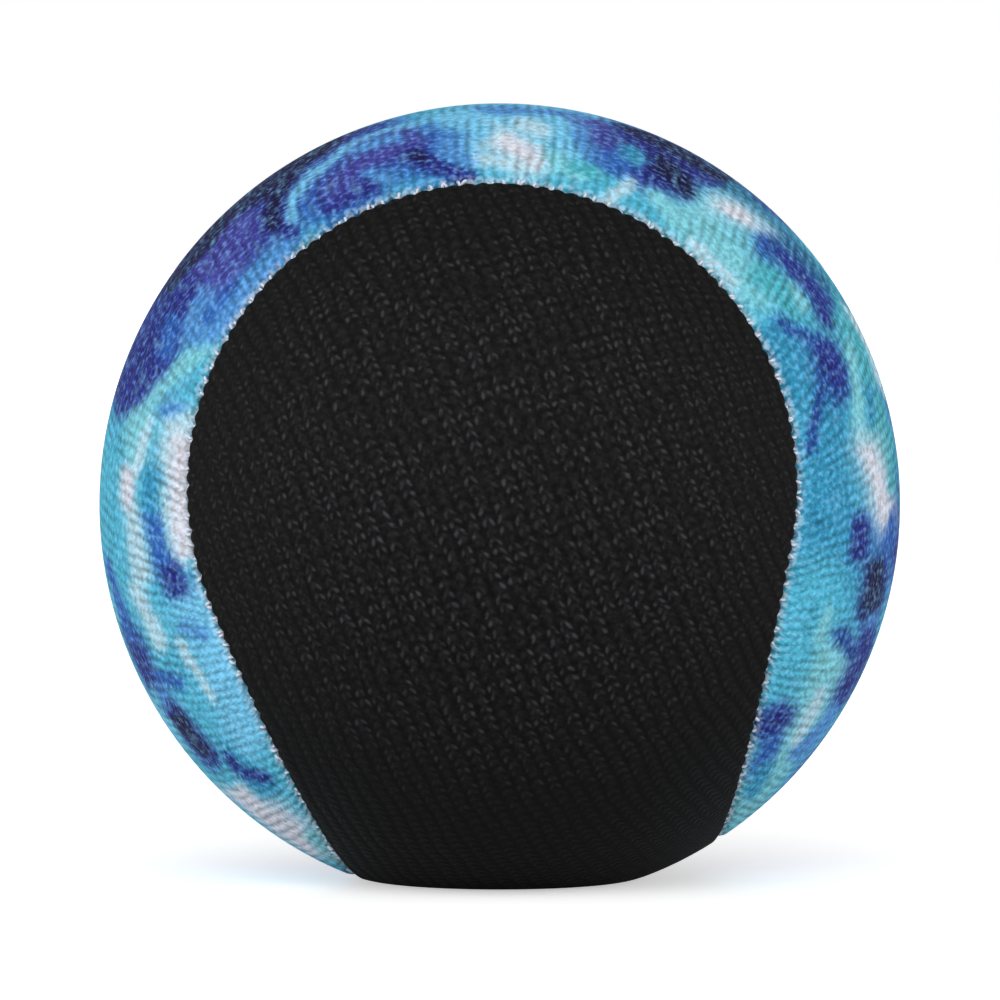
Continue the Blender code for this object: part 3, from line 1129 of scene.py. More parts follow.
# A later run covers the ones before it
FRONT_RUNS = (
    # Broad washes, clockwise from the top
    DyeRun(Dye.SKY, 2.6, ((357, 68), (9, 68))),
    DyeRun(Dye.CYAN, 2.0, ((10, 58), (34, 56))),
    DyeRun(Dye.AQUA, 1.8, ((34, 57), (50, 55))),
    DyeRun(Dye.DEEP_TEAL, 1.2, ((33, 78), (60, 77))),
    DyeRun(Dye.TEAL, 1.2, ((60, 76), (82, 76))),
    DyeRun(Dye.TEAL, 1.0, ((60, 66), (80, 65))),
    DyeRun(Dye.LAGOON, 2.2, ((72, 57), (102, 54))),
    DyeRun(Dye.CYAN, 2.0, ((104, 53), (124, 56))),
    DyeRun(Dye.AQUA, 1.4, ((114, 66), (128, 68), (142, 77))),
    DyeRun(Dye.CYAN, 2.4, ((206, 70), (224, 60), (244, 56))),
    DyeRun(Dye.SKY, 1.6, ((228, 56), (252, 51))),
    DyeRun(Dye.CYAN, 1.6, ((248, 72), (283, 74))),
    DyeRun(Dye.CYAN, 1.8, ((276, 60), (290, 55), (300, 54))),
    DyeRun(Dye.INDIGO, 2.2, ((289, 73), (306, 69), (326, 68))),
    DyeRun(Dye.BLUE, 2.2, ((331, 60), (340, 65), (349, 62))),
    DyeRun(Dye.INDIGO, 0.9, ((287, 83), (300, 84), (312, 84))),
    DyeRun(Dye.NAVY, 1.0, ((311, 83), (322, 82), (335, 83))),
    # Top
    DyeRun(Dye.AZURE, 0.5, ((357, 79), (10, 78))),
    DyeRun(Dye.PALE, 1.1, ((359, 64), (3, 60), (6, 57))),
    DyeRun(Dye.ROSE, 0.7, ((1, 62), (5, 58))),
    DyeRun(Dye.PALE, 0.5, ((357, 57), (3, 55))),
    DyeRun(Dye.PALE, 0.5, ((3, 70), (7, 66))),
    DyeRun(Dye.SKY, 0.8, ((9, 66), (12, 60))),
    DyeRun(Dye.AQUA, 0.7, ((10, 58), (13, 55))),
    DyeRun(Dye.TEAL, 0.5, ((13, 57), (17, 57))),
    # Upper right
    DyeRun(Dye.VIOLET, 1.0, ((13, 75), (17, 66))),
    DyeRun(Dye.AZURE, 0.6, ((12, 70), (15, 63))),
    DyeRun(Dye.INDIGO, 1.1, ((18, 75), (25, 72), (32, 74))),
    DyeRun(Dye.NAVY, 0.8, ((20, 80), (27, 79), (33, 79))),
    DyeRun(Dye.BLUE, 0.8, ((18, 61), (23, 61))),
    DyeRun(Dye.INDIGO, 1.2, ((25, 63), (29, 66))),
    DyeRun(Dye.NAVY, 0.7, ((26, 67), (30, 64))),
    DyeRun(Dye.LAGOON, 0.5, ((19, 67), (22, 65))),
    DyeRun(Dye.PALE, 0.6, ((20, 52), (22, 57))),
    DyeRun(Dye.AQUA, 0.6, ((27, 57), (33, 54))),
    DyeRun(Dye.PALE, 0.75, ((36, 65), (40, 67), (44, 70)), SOFT),
    DyeRun(Dye.ROSE, 0.35, ((38, 66), (41, 68)), SOFT),
    DyeRun(Dye.PALE, 0.35, ((36, 52), (47, 51))),
    # Right, from the shoulder down
    DyeRun(Dye.LAGOON, 0.8, ((83, 86), (93, 86))),
    DyeRun(Dye.BLUE, 0.5, ((44, 65), (49, 62))),
    DyeRun(Dye.MARINE, 0.8, ((46, 66), (50, 67), (54, 68), (58, 69)), SOFT),
    DyeRun(Dye.TEAL, 1.0, ((49, 58), (56, 61))),
    DyeRun(Dye.AQUA, 0.4, ((54, 63), (57, 63))),
    DyeRun(Dye.INDIGO, 0.35, ((49, 67), (54, 68), (58, 69), (61, 66)), SOFT),
    DyeRun(Dye.LAGOON, 1.0, ((60, 54), (69, 54)), SOFT),
    DyeRun(Dye.MARINE, 0.4, ((57, 54), (61, 58), (65, 61)), SOFT),
    DyeRun(Dye.MARINE, 1.0, ((65, 61), (71, 61)), SOFT),
    DyeRun(Dye.INDIGO, 0.7, ((65, 61), (69, 61))),
    DyeRun(Dye.MARINE, 0.4, ((69, 58), (74, 53), (80, 50))),
    DyeRun(Dye.LAGOON, 0.6, ((58, 51), (72, 49))),
    DyeRun(Dye.LAGOON, 0.5, ((73, 73), (77, 69))),
    DyeRun(Dye.AQUA, 0.5, ((66, 70), (72, 67), (79, 64))),
    DyeRun(Dye.PALE, 0.5, ((61, 82), (72, 82))),
    DyeRun(Dye.ROSE, 1.0, ((82, 66), (87, 69), (92, 72)), SOFT),
    DyeRun(Dye.TEAL, 0.5, ((84, 77), (88, 76))),
    DyeRun(Dye.MARINE, 0.7, ((93, 62), (98, 62))),
    DyeRun(Dye.INDIGO, 0.6, ((94, 62), (98, 62))),
    DyeRun(Dye.BLUE, 0.5, ((93, 76), (98, 76))),
    DyeRun(Dye.MARINE, 0.9, ((100, 71), (107, 71))),
    DyeRun(Dye.NAVY, 0.75, ((100, 70), (106, 71))),
    DyeRun(Dye.AZURE, 0.6, ((107, 74), (111, 75))),
    DyeRun(Dye.INDIGO, 0.9, ((110, 76), (116, 76), (120, 77))),
    DyeRun(Dye.MARINE, 0.6, ((111, 63), (113, 70))),
    DyeRun(Dye.AQUA, 0.4, ((108, 57), (113, 58))),
    DyeRun(Dye.AQUA, 0.6, ((114, 61), (121, 64))),
    DyeRun(Dye.AZURE, 0.7, ((122, 76), (130, 74))),
    DyeRun(Dye.PALE, 0.4, ((120, 66), (129, 69))),
    DyeRun(Dye.INDIGO, 0.9, ((127, 59), (130, 59))),
    DyeRun(Dye.BLUE, 0.6, ((131, 62), (136, 66))),
    DyeRun(Dye.LAGOON, 0.5, ((135, 67), (139, 71))),
    # Left, from the foot up
    DyeRun(Dye.ROSE, 1.5, ((207, 76), (214, 74), (222, 75))),
    DyeRun(Dye.AQUA, 0.6, ((204, 74), (209, 69))),
    DyeRun(Dye.LAGOON, 0.7, ((219, 64), (227, 65))),
    DyeRun(Dye.INDIGO, 0.45, ((221, 62), (223, 64))),
    DyeRun(Dye.INDIGO, 0.4, ((225, 66), (227, 65))),
    DyeRun(Dye.CYAN, 0.5, ((224, 71), (227, 74))),
    DyeRun(Dye.INDIGO, 0.7, ((229, 72), (238, 73))),
    DyeRun(Dye.NAVY, 0.5, ((230, 72), (236, 72))),
    DyeRun(Dye.AZURE, 0.5, ((239, 74), (241, 71))),
    DyeRun(Dye.INDIGO, 0.8, ((243, 75), (251, 76))),
    DyeRun(Dye.BLUE, 0.6, ((251, 76), (260, 79))),
    DyeRun(Dye.BLUE, 0.45, ((243, 69), (241, 64))),
    DyeRun(Dye.PALE, 0.3, ((236, 58), (247, 58))),
    DyeRun(Dye.AZURE, 0.4, ((246, 52), (249, 55))),
    DyeRun(Dye.PALE, 0.6, ((248, 64), (257, 66))),
    DyeRun(Dye.PALE, 0.7, ((259, 63), (269, 64))),
    DyeRun(Dye.PALE, 1.3, ((264, 51), (272, 53), (284, 53))),
    DyeRun(Dye.INDIGO, 0.9, ((256, 54), (259, 55))),
    DyeRun(Dye.BLUE, 0.6, ((261, 57), (268, 58))),
    DyeRun(Dye.LAGOON, 0.6, ((270, 58), (275, 58))),
    DyeRun(Dye.ROSE, 0.8, ((262, 50), (271, 51), (280, 52))),
    DyeRun(Dye.ROSE, 0.65, ((271, 66), (275, 66))),
    DyeRun(Dye.AZURE, 0.4, ((285, 58), (287, 54))),
    DyeRun(Dye.AQUA, 0.6, ((278, 66), (284, 67))),
    DyeRun(Dye.PALE, 0.45, ((276, 63), (283, 62))),
    DyeRun(Dye.AQUA, 0.6, ((283, 65), (289, 61), (294, 57), (298, 54))),
    # Upper left
    DyeRun(Dye.INDIGO, 0.9, ((285, 74), (288, 69), (294, 65))),
    DyeRun(Dye.BLUE, 0.7, ((295, 64), (299, 67))),
    DyeRun(Dye.AZURE, 1.0, ((300, 58), (309, 58))),
    DyeRun(Dye.AZURE, 0.4, ((300, 61), (306, 63))),
    DyeRun(Dye.BLUE, 0.5, ((303, 57), (309, 57))),
    DyeRun(Dye.VIOLET, 1.2, ((309, 63), (316, 64))),
    DyeRun(Dye.VIOLET, 1.0, ((308, 70), (318, 69))),
    DyeRun(Dye.INDIGO, 0.8, ((322, 57), (322, 66), (321, 73))),
    DyeRun(Dye.NAVY, 0.6, ((303, 79), (318, 77), (333, 79))),
    DyeRun(Dye.NAVY, 0.6, ((321, 62), (323, 70), (330, 75))),
    DyeRun(Dye.AZURE, 0.6, ((301, 54), (320, 54))),
    DyeRun(Dye.SKY, 0.4, ((324, 59), (326, 64), (331, 69))),
    DyeRun(Dye.SKY, 0.3, ((331, 69), (336, 72), (343, 74), (349, 74))),
    DyeRun(Dye.INDIGO, 0.8, ((331, 57), (338, 57))),
    DyeRun(Dye.VIOLET, 1.1, ((332, 61), (339, 65), (346, 66))),
    DyeRun(Dye.AZURE, 0.35, ((338, 69), (344, 69))),
    DyeRun(Dye.AZURE, 0.4, ((339, 60), (342, 57))),
    DyeRun(Dye.INDIGO, 0.7, ((345, 62), (349, 57))),
    DyeRun(Dye.NAVY, 0.35, ((346, 61), (350, 56))),
    DyeRun(Dye.INDIGO, 0.6, ((349, 57), (354, 53))),
    DyeRun(Dye.SKY, 0.7, ((352, 75), (356, 66))),
    DyeRun(Dye.AZURE, 0.6, ((352, 62), (355, 57))),
)


@dataclass(frozen=True)
class DyeBath:
    """Where the dyes have run on the ball.

    Attributes:
        ball: The ball.
        eye_lift: Elevation from which the front runs are seen.
        back_blots: Blots scattered over the back.
        stray: How far the dye's edges wind to and fro at the front.
        back_stray: How far they wind at the back.
        speckle: How unevenly the yarns take up the dye at its edges.
        seed: Seed of the scatter.
    """

    ball: BallShape
    eye_lift: float = VIEW_LIFT
    back_blots: int = 46
    stray: float = 0.0002
    back_stray: float = 0.0009
    speckle: float = 0.0002
    seed: int = 7

    # Angle from the middle of the view beyond which the drawing goes on outwards at an even rate
    BENT_FROM = math.radians(69)
    # Waves that wind the dye's edges, and the least and greatest length of one
    WAVES = 14
    WAVE_LENGTHS = (0.0015, 0.007)
    # How far in front of the ball's middle the winding starts to widen, in ball radii
    WIDENS_FROM = 0.4
    # How far a run's cover has fallen at its edge, as a natural logarithm, and the least that shows
    EDGE_FALL = 0.7
    LEAST_COVER = 0.01
    # How often each kind of blot comes, and its dyes with half the width of their runs in millimetres
    BLOTS = (
        (0.35, ((Dye.AQUA, 2.4), (Dye.TEAL, 1.8), (Dye.LAGOON, 1.2), (Dye.SKY, 0.8))),
        (
            0.4,
            ((Dye.BLUE, 2.2), (Dye.AZURE, 1.2), (Dye.INDIGO, 1.4), (Dye.VIOLET, 1.1), (Dye.NAVY, 0.6)),
        ),
        (0.25, ((Dye.SKY, 1.8), (Dye.PALE, 1.2), (Dye.ROSE, 0.7))),
    )
    # Least and greatest place of a blot and step along its runs, in degrees round and away
    BLOT_PLACES = ((0, 42), (360, 98))
    RUN_STEPS = ((2, -4), (7, 4))
    # The most steps that a run takes
    MOST_STEPS = 4
    # How far a blot's runs start apart, in degrees, and the span of shares of their usual width
    RUN_SPREAD = 4.0
    RUN_WIDTHS = (0.6, 1.2)

    def scatter(self) -> list[DyeRun]:
        """Scatters blots over the back, each of several soft runs drawn along the panel.

        Returns:
            The runs, as seen from the back.
        """
        draw = np.random.default_rng(self.seed)
        shares = [share for share, _ in self.BLOTS]
        runs = []
        for _ in range(self.back_blots):
            _, dyes = self.BLOTS[draw.choice(len(shares), p=shares)]
            middle = draw.uniform(*self.BLOT_PLACES)
            for dye, usual in dyes:
                path = [middle + draw.normal(0.0, self.RUN_SPREAD, 2)]
                for _ in range(draw.integers(1, self.MOST_STEPS + 1)):
                    path.append(path[-1] + draw.uniform(*self.RUN_STEPS))
                half_width = usual * draw.uniform(*self.RUN_WIDTHS)
                runs.append(DyeRun(dye, half_width, tuple(map(tuple, path)), SOFT))
        return runs

    def flatten(self, clock: Array, swing: Array) -> Array:
        """Draws places as they are seen, with what lies behind the outline rolled out round it.

        Args:
            clock: Angles clockwise from the top.
            swing: Angles from the middle of the view.

        Returns:
            The places on the drawing, one pair per row.
        """
        beyond = np.maximum(swing - self.BENT_FROM, 0) * math.cos(self.BENT_FROM)
        reach = self.ball.radius * (np.sin(np.minimum(swing, self.BENT_FROM)) + beyond)
        return np.stack((reach * np.sin(clock), reach * np.cos(clock)), axis=1)

    def seen(self, directions: Array, front: int) -> Array:
        """Draws directions as they are seen from the front or the back.

        Args:
            directions: Unit directions in the frame's axes.
            front: 1 from the front, -1 from the back.

        Returns:
            The places on the drawing.
        """
        lift = self.eye_lift
        across = front * directions[:, 0]
        ahead = -front * directions[:, 1]
        up = ahead * -math.sin(lift) + directions[:, 2] * math.cos(lift)
        near = ahead * math.cos(lift) + directions[:, 2] * math.sin(lift)
        return self.flatten(np.arctan2(across, up), np.arccos(np.clip(near, -1, 1)))

    def strayed(self, directions: Array) -> Array:
        """Shifts places on the ball a little, so that the dye's edges wind and speckle.

        Args:
            directions: Unit directions in the frame's axes.

        Returns:
            The shifted directions.
        """
        draw = np.random.default_rng(self.seed)
        winding = np.zeros(directions.shape)
        for _ in range(self.WAVES):
            way, towards = (ends / np.linalg.norm(ends) for ends in draw.normal(0.0, 1.0, (2, 3)))
            length = draw.uniform(*self.WAVE_LENGTHS)
            turns = directions @ way * self.ball.radius / length + draw.uniform()
            # On each axis all waves together reach about as far as one of height 1
            height = length / np.mean(self.WAVE_LENGTHS) * math.sqrt(3 / self.WAVES)
            winding += height * np.sin(2 * math.pi * turns)[:, None] * towards
        behind = np.clip(directions[:, 1:2] / self.WIDENS_FROM + 1, 0, 1)
        shift = winding * (self.stray + behind * (self.back_stray - self.stray))
        shift += draw.normal(0.0, self.speckle, directions.shape)
        shifted = directions + shift / self.ball.radius
        return shifted / np.linalg.norm(shifted, axis=1)[:, None]

    def colours(self, directions: Array) -> Array:
        """Works out the dyed colour of each place.

        Args:
            directions: Unit directions in the frame's axes.

        Returns:
            Linear colours, one per row.
        """
        screen = np.tile(np.array(Dye.CYAN.value, float), (len(directions), 1))
        strayed = self.strayed(directions)
        for front, runs in ((-1, self.scatter()), (1, FRONT_RUNS)):
            places = self.seen(strayed, front)
            for run in runs:
                cover = self.cover(places, run)
                near = cover > self.LEAST_COVER
                screen[near] += cover[near, None] * (np.array(run.dye.value) - screen[near])
        return linear_levels(screen)

    def cover(self, places: Array, run: DyeRun) -> Array:
        """Works out how much of a run's dye has soaked in at each place.

        Args:
            places: Places on the drawing.
            run: The run.

        Returns:
            1 along its middle, a half at its edge and 0 well away.
        """
        ends = np.radians(np.array(run.path))
        corners = self.flatten(ends[:, 0], ends[:, 1])
        nearest = np.full(len(places), np.inf)
        for start, end in zip(corners, corners[1:]):
            along = end - start
            share = np.clip((places - start) @ along / (along @ along), 0, 1)
            away = np.linalg.norm(places - start - share[:, None] * along, axis=1)
            nearest = np.minimum(nearest, away)
        half_widths = nearest / (run.half_width * MILLIMETRE)
        return np.exp(-self.EDGE_FALL * half_widths**run.fade)


# Sub-assemblies


@dataclass(frozen=True)
class Stitching:
    """How the panels are sewn together.

    Attributes:
        per_arc: Machine stitches along each arc of the seam.
        pinch: How far a stitch draws the fold in.
        nub: How far the knit stands out between the stitches.
        weave: How far the seam winds to the black side at a stitch, and back between two.
        reach: How far a stitch's pull reaches into the panel.
        unevenness: Share by which one stitch differs from the next.
        seed: Seed of the unevenness.
    """

    per_arc: int = 74
    pinch: float = 0.00012
    nub: float = 0.00002
    weave: float = 0.00012
    reach: float = 0.0008
    unevenness: float = 0.6
    seed: int = 21

    # Power that narrows a stitch's pull to its own place
    NARROWNESS = 3

    def relief(self, turns: Array, flat: Array) -> Array:
        """Works out how deep the fabric is drawn in beside the seam.

        Args:
            turns: Places along the seam.
            flat: Places on the flat fabric, measured from where the panels touch.

        Returns:
            The depth of the pull at each place.
        """
        phase = turns * self.per_arc
        pull = self.strengths(turns)
        tight = (0.5 + 0.5 * np.cos(2 * math.pi * phase)) ** self.NARROWNESS
        between = np.abs(np.sin(2 * math.pi * phase))
        return self.fade(flat) * (self.pinch * pull * tight - self.nub * between)

    def strengths(self, turns: Array) -> Array:
        """Works out how strong the nearest stitch to each place is.

        Args:
            turns: Places along the seam.

        Returns:
            The strengths, which are about 1.
        """
        stitches = self.per_arc * SeamLine.ARCS
        draw = np.random.default_rng(self.seed)
        strengths = 1 + self.unevenness * draw.uniform(-1, 1, stitches)
        return strengths[np.round(turns * self.per_arc).astype(int) % stitches]

    def fade(self, flat: Array) -> Array:
        """Fades the stitches' pull out into the panel."""
        return np.exp(-((np.maximum(flat, 0) / self.reach) ** 2))

    def winding(self, turns: Array, flat: Array) -> Array:
        """Works out how far the fabric beside the seam is shifted to the black side."""
        along = np.cos(2 * math.pi * turns * self.per_arc)
        return self.weave * self.strengths(turns) * self.fade(flat) * along


@dataclass(frozen=True)
class KnitPanel:
    """One panel of the cover: its field, its turned edge and the pull of the stitches.

    Attributes:
        name: The piece's name.
        node: The plain solid that it stands for.
        slot: The record's material slot; not used.
        side: Which side of the seam it lies on.
        grain_turn: How far the knit's columns are turned from the way along the panel.
        seam: The seam.
        edge: The turned edge.
        stitching: The stitches that pull on it.
        cut_width: Width of the flat cut across a lobe; not used.
        cut_length: Length of the flat cut from tip to tip; not used.
        cut_area: Area of the flat cut; not used.
    """

    name: str
    node: str
    slot: str
    side: Side
    grain_turn: float
    seam: SeamLine
    edge: TurnedEdge
    stitching: Stitching
    cut_width: float
    cut_length: float
    cut_area: float

    POINTS_PER_STITCH = 4
    # Facets round the fold's outside and inside
    FOLD_STEPS = 7
    INNER_FOLD_STEPS = 2
    # Angle from a lobe's middle at which the black knit's painted shade is deepest
    LOBE_REACH = math.radians(60)

    @property
    def fine(self) -> int:
        """Points in a row along the seam."""
        return self.stitching.per_arc * self.seam.ARCS * self.POINTS_PER_STITCH

    def edge_turns(self, points: int) -> Array:
        """Places of a row's points along the seam."""
        return np.arange(points) * self.seam.ARCS / points

    def field_places(self, turns: Array) -> Array:
        """Lays a border row out on the panel."""
        directions = self.seam.beside(turns, self.side.value * self.edge.field_start)
        return self.seam.strip_place(directions, self.side)

    def grid_sides(self, stations: int) -> tuple[Array, Array, Array, Array]:
        """Shares a border row out among the four sides of the field's grid.

        Args:
            stations: Points in the border row.

        Returns:
            The points of the near, right, far and left sides, each from the grid's near left corner.
        """
        # The middle half of a lobe's arc is an end of the grid, and the rest goes to its sides
        arc = stations // self.seam.ARCS
        across = arc // 2
        along = stations // 2 - across
        corner = arc // 4 + (arc if self.side is Side.DYED else 0)
        near = corner + np.arange(across + 1)
        right = near[-1] + np.arange(along + 1)
        left = corner - np.arange(along + 1)
        far = left[-1] - np.arange(across + 1)
        return near % stations, right % stations, far % stations, left % stations

    def field(self, draft: MeshDraft, border: Array, turned_over: bool) -> Array:
        """Fills the field inside its border row with a grid.

        Args:
            draft: The mesh that gets the grid.
            border: The numbers of the border row's points.
            turned_over: Whether the grid looks inwards.

        Returns:
            The directions of the grid's inner points.
        """
        near, right, far, left = self.grid_sides(len(border))
        places = self.field_places(self.edge_turns(len(border)))
        across = np.linspace(0, 1, len(near))[None, :, None]
        along = np.linspace(0, 1, len(left))[:, None, None]
        sides = (1 - across) * places[left][:, None] + across * places[right][:, None]
        ends = (1 - along) * places[near][None] + along * places[far][None]
        near_corners = (1 - across) * places[near[0]] + across * places[near[-1]]
        far_corners = (1 - across) * places[far[0]] + across * places[far[-1]]
        blend = sides + ends - (1 - along) * near_corners - along * far_corners
        rows = np.zeros(blend.shape[:2], int)
        rows[0], rows[-1] = border[near], border[far]
        rows[:, 0], rows[:, -1] = border[left], border[right]
        inner = blend[1:-1, 1:-1].reshape(-1, 2)
        rows[1:-1, 1:-1] = draft.number(len(inner)).reshape(rows[1:-1, 1:-1].shape)
        draft.grid(rows, turned_over)
        return self.seam.strip_direction(inner, self.side)

    def grain(self, directions: Array) -> Array:
        """Works out where places lie on the knit: across its columns and along them.

        Args:
            directions: Unit directions in the panels' own axes.

        Returns:
            One vector per row.
        """
        along, across = self.seam.strip_place(directions, self.side).T * self.seam.ball.radius
        cos, sin = math.cos(self.grain_turn), math.sin(self.grain_turn)
        return np.stack((across * cos + along * sin, along * cos - across * sin, 0 * along), axis=1)

    def lobe_nearness(self, directions: Array) -> Array:
        """Works out how near places are to the middle of a lobe: the mask of the black knit's painted
        shade.

        Args:
            directions: Unit directions in the panels' own axes.

        Returns:
            1 over the middle of a lobe, and 0 at the waist.
        """
        along, across = self.seam.strip_place(directions, self.side).T
        from_middle = np.hypot(np.abs(along) - math.pi / 2 - self.seam.lobe_lift, across)
        return np.clip(1 - (from_middle / self.LOBE_REACH) ** 2, 0, 1)

    def build(self, material: bpy.types.Material, bath: DyeBath | None = None) -> bpy.types.Object:
        """Makes the panel as fabric of its real thickness.

        Args:
            material: Its finish.
            bath: The dyes that have run on it, if any.

        Returns:
            The piece.
        """
        draft = MeshDraft()
        outer = self.edge.rows(self.edge.fold_radius, self.FOLD_STEPS)
        inner = self.edge.rows(self.edge.bend, self.INNER_FOLD_STEPS)
        raw_middle = (outer[:1] + inner[:1]) / 2
        # The lining is coarser, and the stitches' pull shows on the outside alone
        faces = (
            (inner[::-1], self.fine // 4, 0.0),
            (raw_middle, self.fine // 2, 0.0),
            (outer, self.fine, 1.0),
        )
        numbered, listed = [], []
        for rows, stations, shown in faces:
            turns = self.edge_turns(stations)
            for row in rows:
                numbered.append(draft.number(stations))
                listed.append(np.column_stack((turns, np.tile((*row, shown), (stations, 1)))))
        draft.chain(numbered)
        lining = self.field(draft, numbered[0], True)
        face = self.field(draft, numbered[-1], False)
        turns, distance, depth, turned, flat, shown = np.concatenate(listed).T

        sign = self.side.value
        ball = self.seam.ball
        pull = shown * self.stitching.relief(turns, flat)
        wound = shown * self.stitching.winding(turns, flat)
        pulled = self.seam.beside(turns, sign * (distance + pull * np.sin(turned)) + wound)
        border = ball.settle(pulled, depth + pull * np.cos(turned))
        fields = (ball.settle(lining, self.edge.fabric), ball.settle(face, 0.0))
        mesh = draft.mesh(self.name, np.concatenate((border, *fields)))
        faces_out(mesh)

        laid = flat - flat.max() + distance.max()
        unrolled = np.concatenate((self.seam.beside(turns, sign * laid), lining, face))
        well_in = np.full(len(unrolled) - len(flat), flat.max())
        store(mesh, "grain", self.grain(unrolled))
        store(mesh, "edge", np.concatenate((flat, well_in)))
        # Nearness to a lobe's middle, the mask of the black knit's painted shade
        store(mesh, "lobe_nearness", self.lobe_nearness(unrolled))
        if bath is not None:
            store(mesh, "dye", bath.colours(unrolled @ ball.lie.T))
        piece = place_piece(self.name, mesh, ball, material, self.node)
        return piece


@dataclass(frozen=True)
class GelCore:
    """The soft core, with the groove that the turned edges press into it.

    Attributes:
        seam: The seam.
        edge: The turned edge that the groove takes.
        clearance: Distance from the core to the fabric.
        stations: Points along the seam.
    """

    seam: SeamLine
    edge: TurnedEdge
    clearance: float = 0.0003
    stations: int = 624

    ROUNDING_STEPS = 4

    def profile(self) -> list[Pair]:
        """Lists the groove's rows, from its floor to the border of the field.

        Returns:
            For each row its distance from the seam and its depth.
        """
        half_width = self.edge.gap / 2 + self.edge.fabric + self.clearance
        skin = self.edge.fabric + self.clearance
        round_radius = self.edge.bend
        rows = [(half_width, self.edge.allowance + self.clearance)]
        for step in range(self.ROUNDING_STEPS + 1):
            turn = math.pi / 2 * step / self.ROUNDING_STEPS
            distance = half_width + round_radius * (1 - math.cos(turn))
            rows.append((distance, skin + round_radius * (1 - math.sin(turn))))
        rows.append((self.edge.field_start, skin))
        return rows

    def build(self, black: KnitPanel, dyed: KnitPanel, material: bpy.types.Material) -> bpy.types.Object:
        """Makes the core under its panels.

        Args:
            black: The black panel.
            dyed: The dyed panel.
            material: Its finish.

        Returns:
            The piece.
        """
        draft = MeshDraft()
        numbered, points = [], []
        turns = np.arange(self.stations) * self.seam.ARCS / self.stations
        profile = self.profile()
        for panel, rows in ((dyed, profile[::-1]), (black, profile)):
            for distance, depth in rows:
                numbered.append(draft.number(len(turns)))
                directions = self.seam.beside(turns, panel.side.value * distance)
                points.append(self.seam.ball.settle(directions, depth))
        draft.chain(numbered)
        for panel, border, turned_over in ((dyed, numbered[0], True), (black, numbered[-1], False)):
            inner = panel.field(draft, border, turned_over)
            points.append(self.seam.ball.settle(inner, profile[-1][1]))
        mesh = draft.mesh("soft_core", np.concatenate(points))
        faces_out(mesh)
        piece = place_piece("soft_core", mesh, self.seam.ball, material, "gel_core")
        return piece


class Tubes:
    """Collects short tubes of thread into one mesh."""

    SIDES = 8

    def __init__(self, radius: float, twist: float) -> None:
        """Starts with no tubes.

        Args:
            radius: The thread's radius.
            twist: Length of thread in which a ply goes once round.
        """
        self.radius = radius
        self.twist = twist
        self.draft = MeshDraft()
        self.points: list[Array] = []
        self.plies: list[Array] = []

    def add(self, path: Array) -> None:
        """Adds a tube with rounded ends along a path.

        Args:
            path: The points of its middle line.
        """
        tangents = np.gradient(path, axis=0)
        tangents /= np.linalg.norm(tangents, axis=1)[:, None]
        across = np.cross(tangents, path)
        across /= np.linalg.norm(across, axis=1)[:, None]
        up = np.cross(across, tangents)
        round_the_thread = np.arange(self.SIDES) * 2 * math.pi / self.SIDES
        rings = []
        steps = np.concatenate(([0], np.cumsum(np.linalg.norm(np.diff(path, axis=0), axis=1))))
        for centre, side, rise, step in zip(path, across, up, steps):
            ring = np.cos(round_the_thread)[:, None] * side + np.sin(round_the_thread)[:, None] * rise
            self.points.append(centre + self.radius * ring)
            self.plies.append(round_the_thread / math.pi + step / self.twist)
            rings.append(self.draft.number(self.SIDES))
        for first, second in zip(rings, rings[1:]):
            self.draft.strip(first, second)
        ends = ((path[0], -tangents[0], rings[0], -1), (path[-1], tangents[-1], rings[-1], 1))
        for end, outwards, ring, way in ends:
            self.points.append((end + self.radius * outwards)[None])
            self.plies.append(np.zeros(1))
            middle = np.full(self.SIDES, self.draft.number(1)[0])
            self.draft.faces.append(np.stack((ring, np.roll(ring, -1), middle), axis=1)[:, ::way])

    def mesh(self, name: str) -> bpy.types.Mesh:
        """Makes the mesh of all tubes so far.

        Args:
            name: The mesh's name.

        Returns:
            The mesh, with each point's place round the plies.
        """
        mesh = self.draft.mesh(name, np.concatenate(self.points))
        store(mesh, "ply", np.concatenate(self.plies))
        return mesh


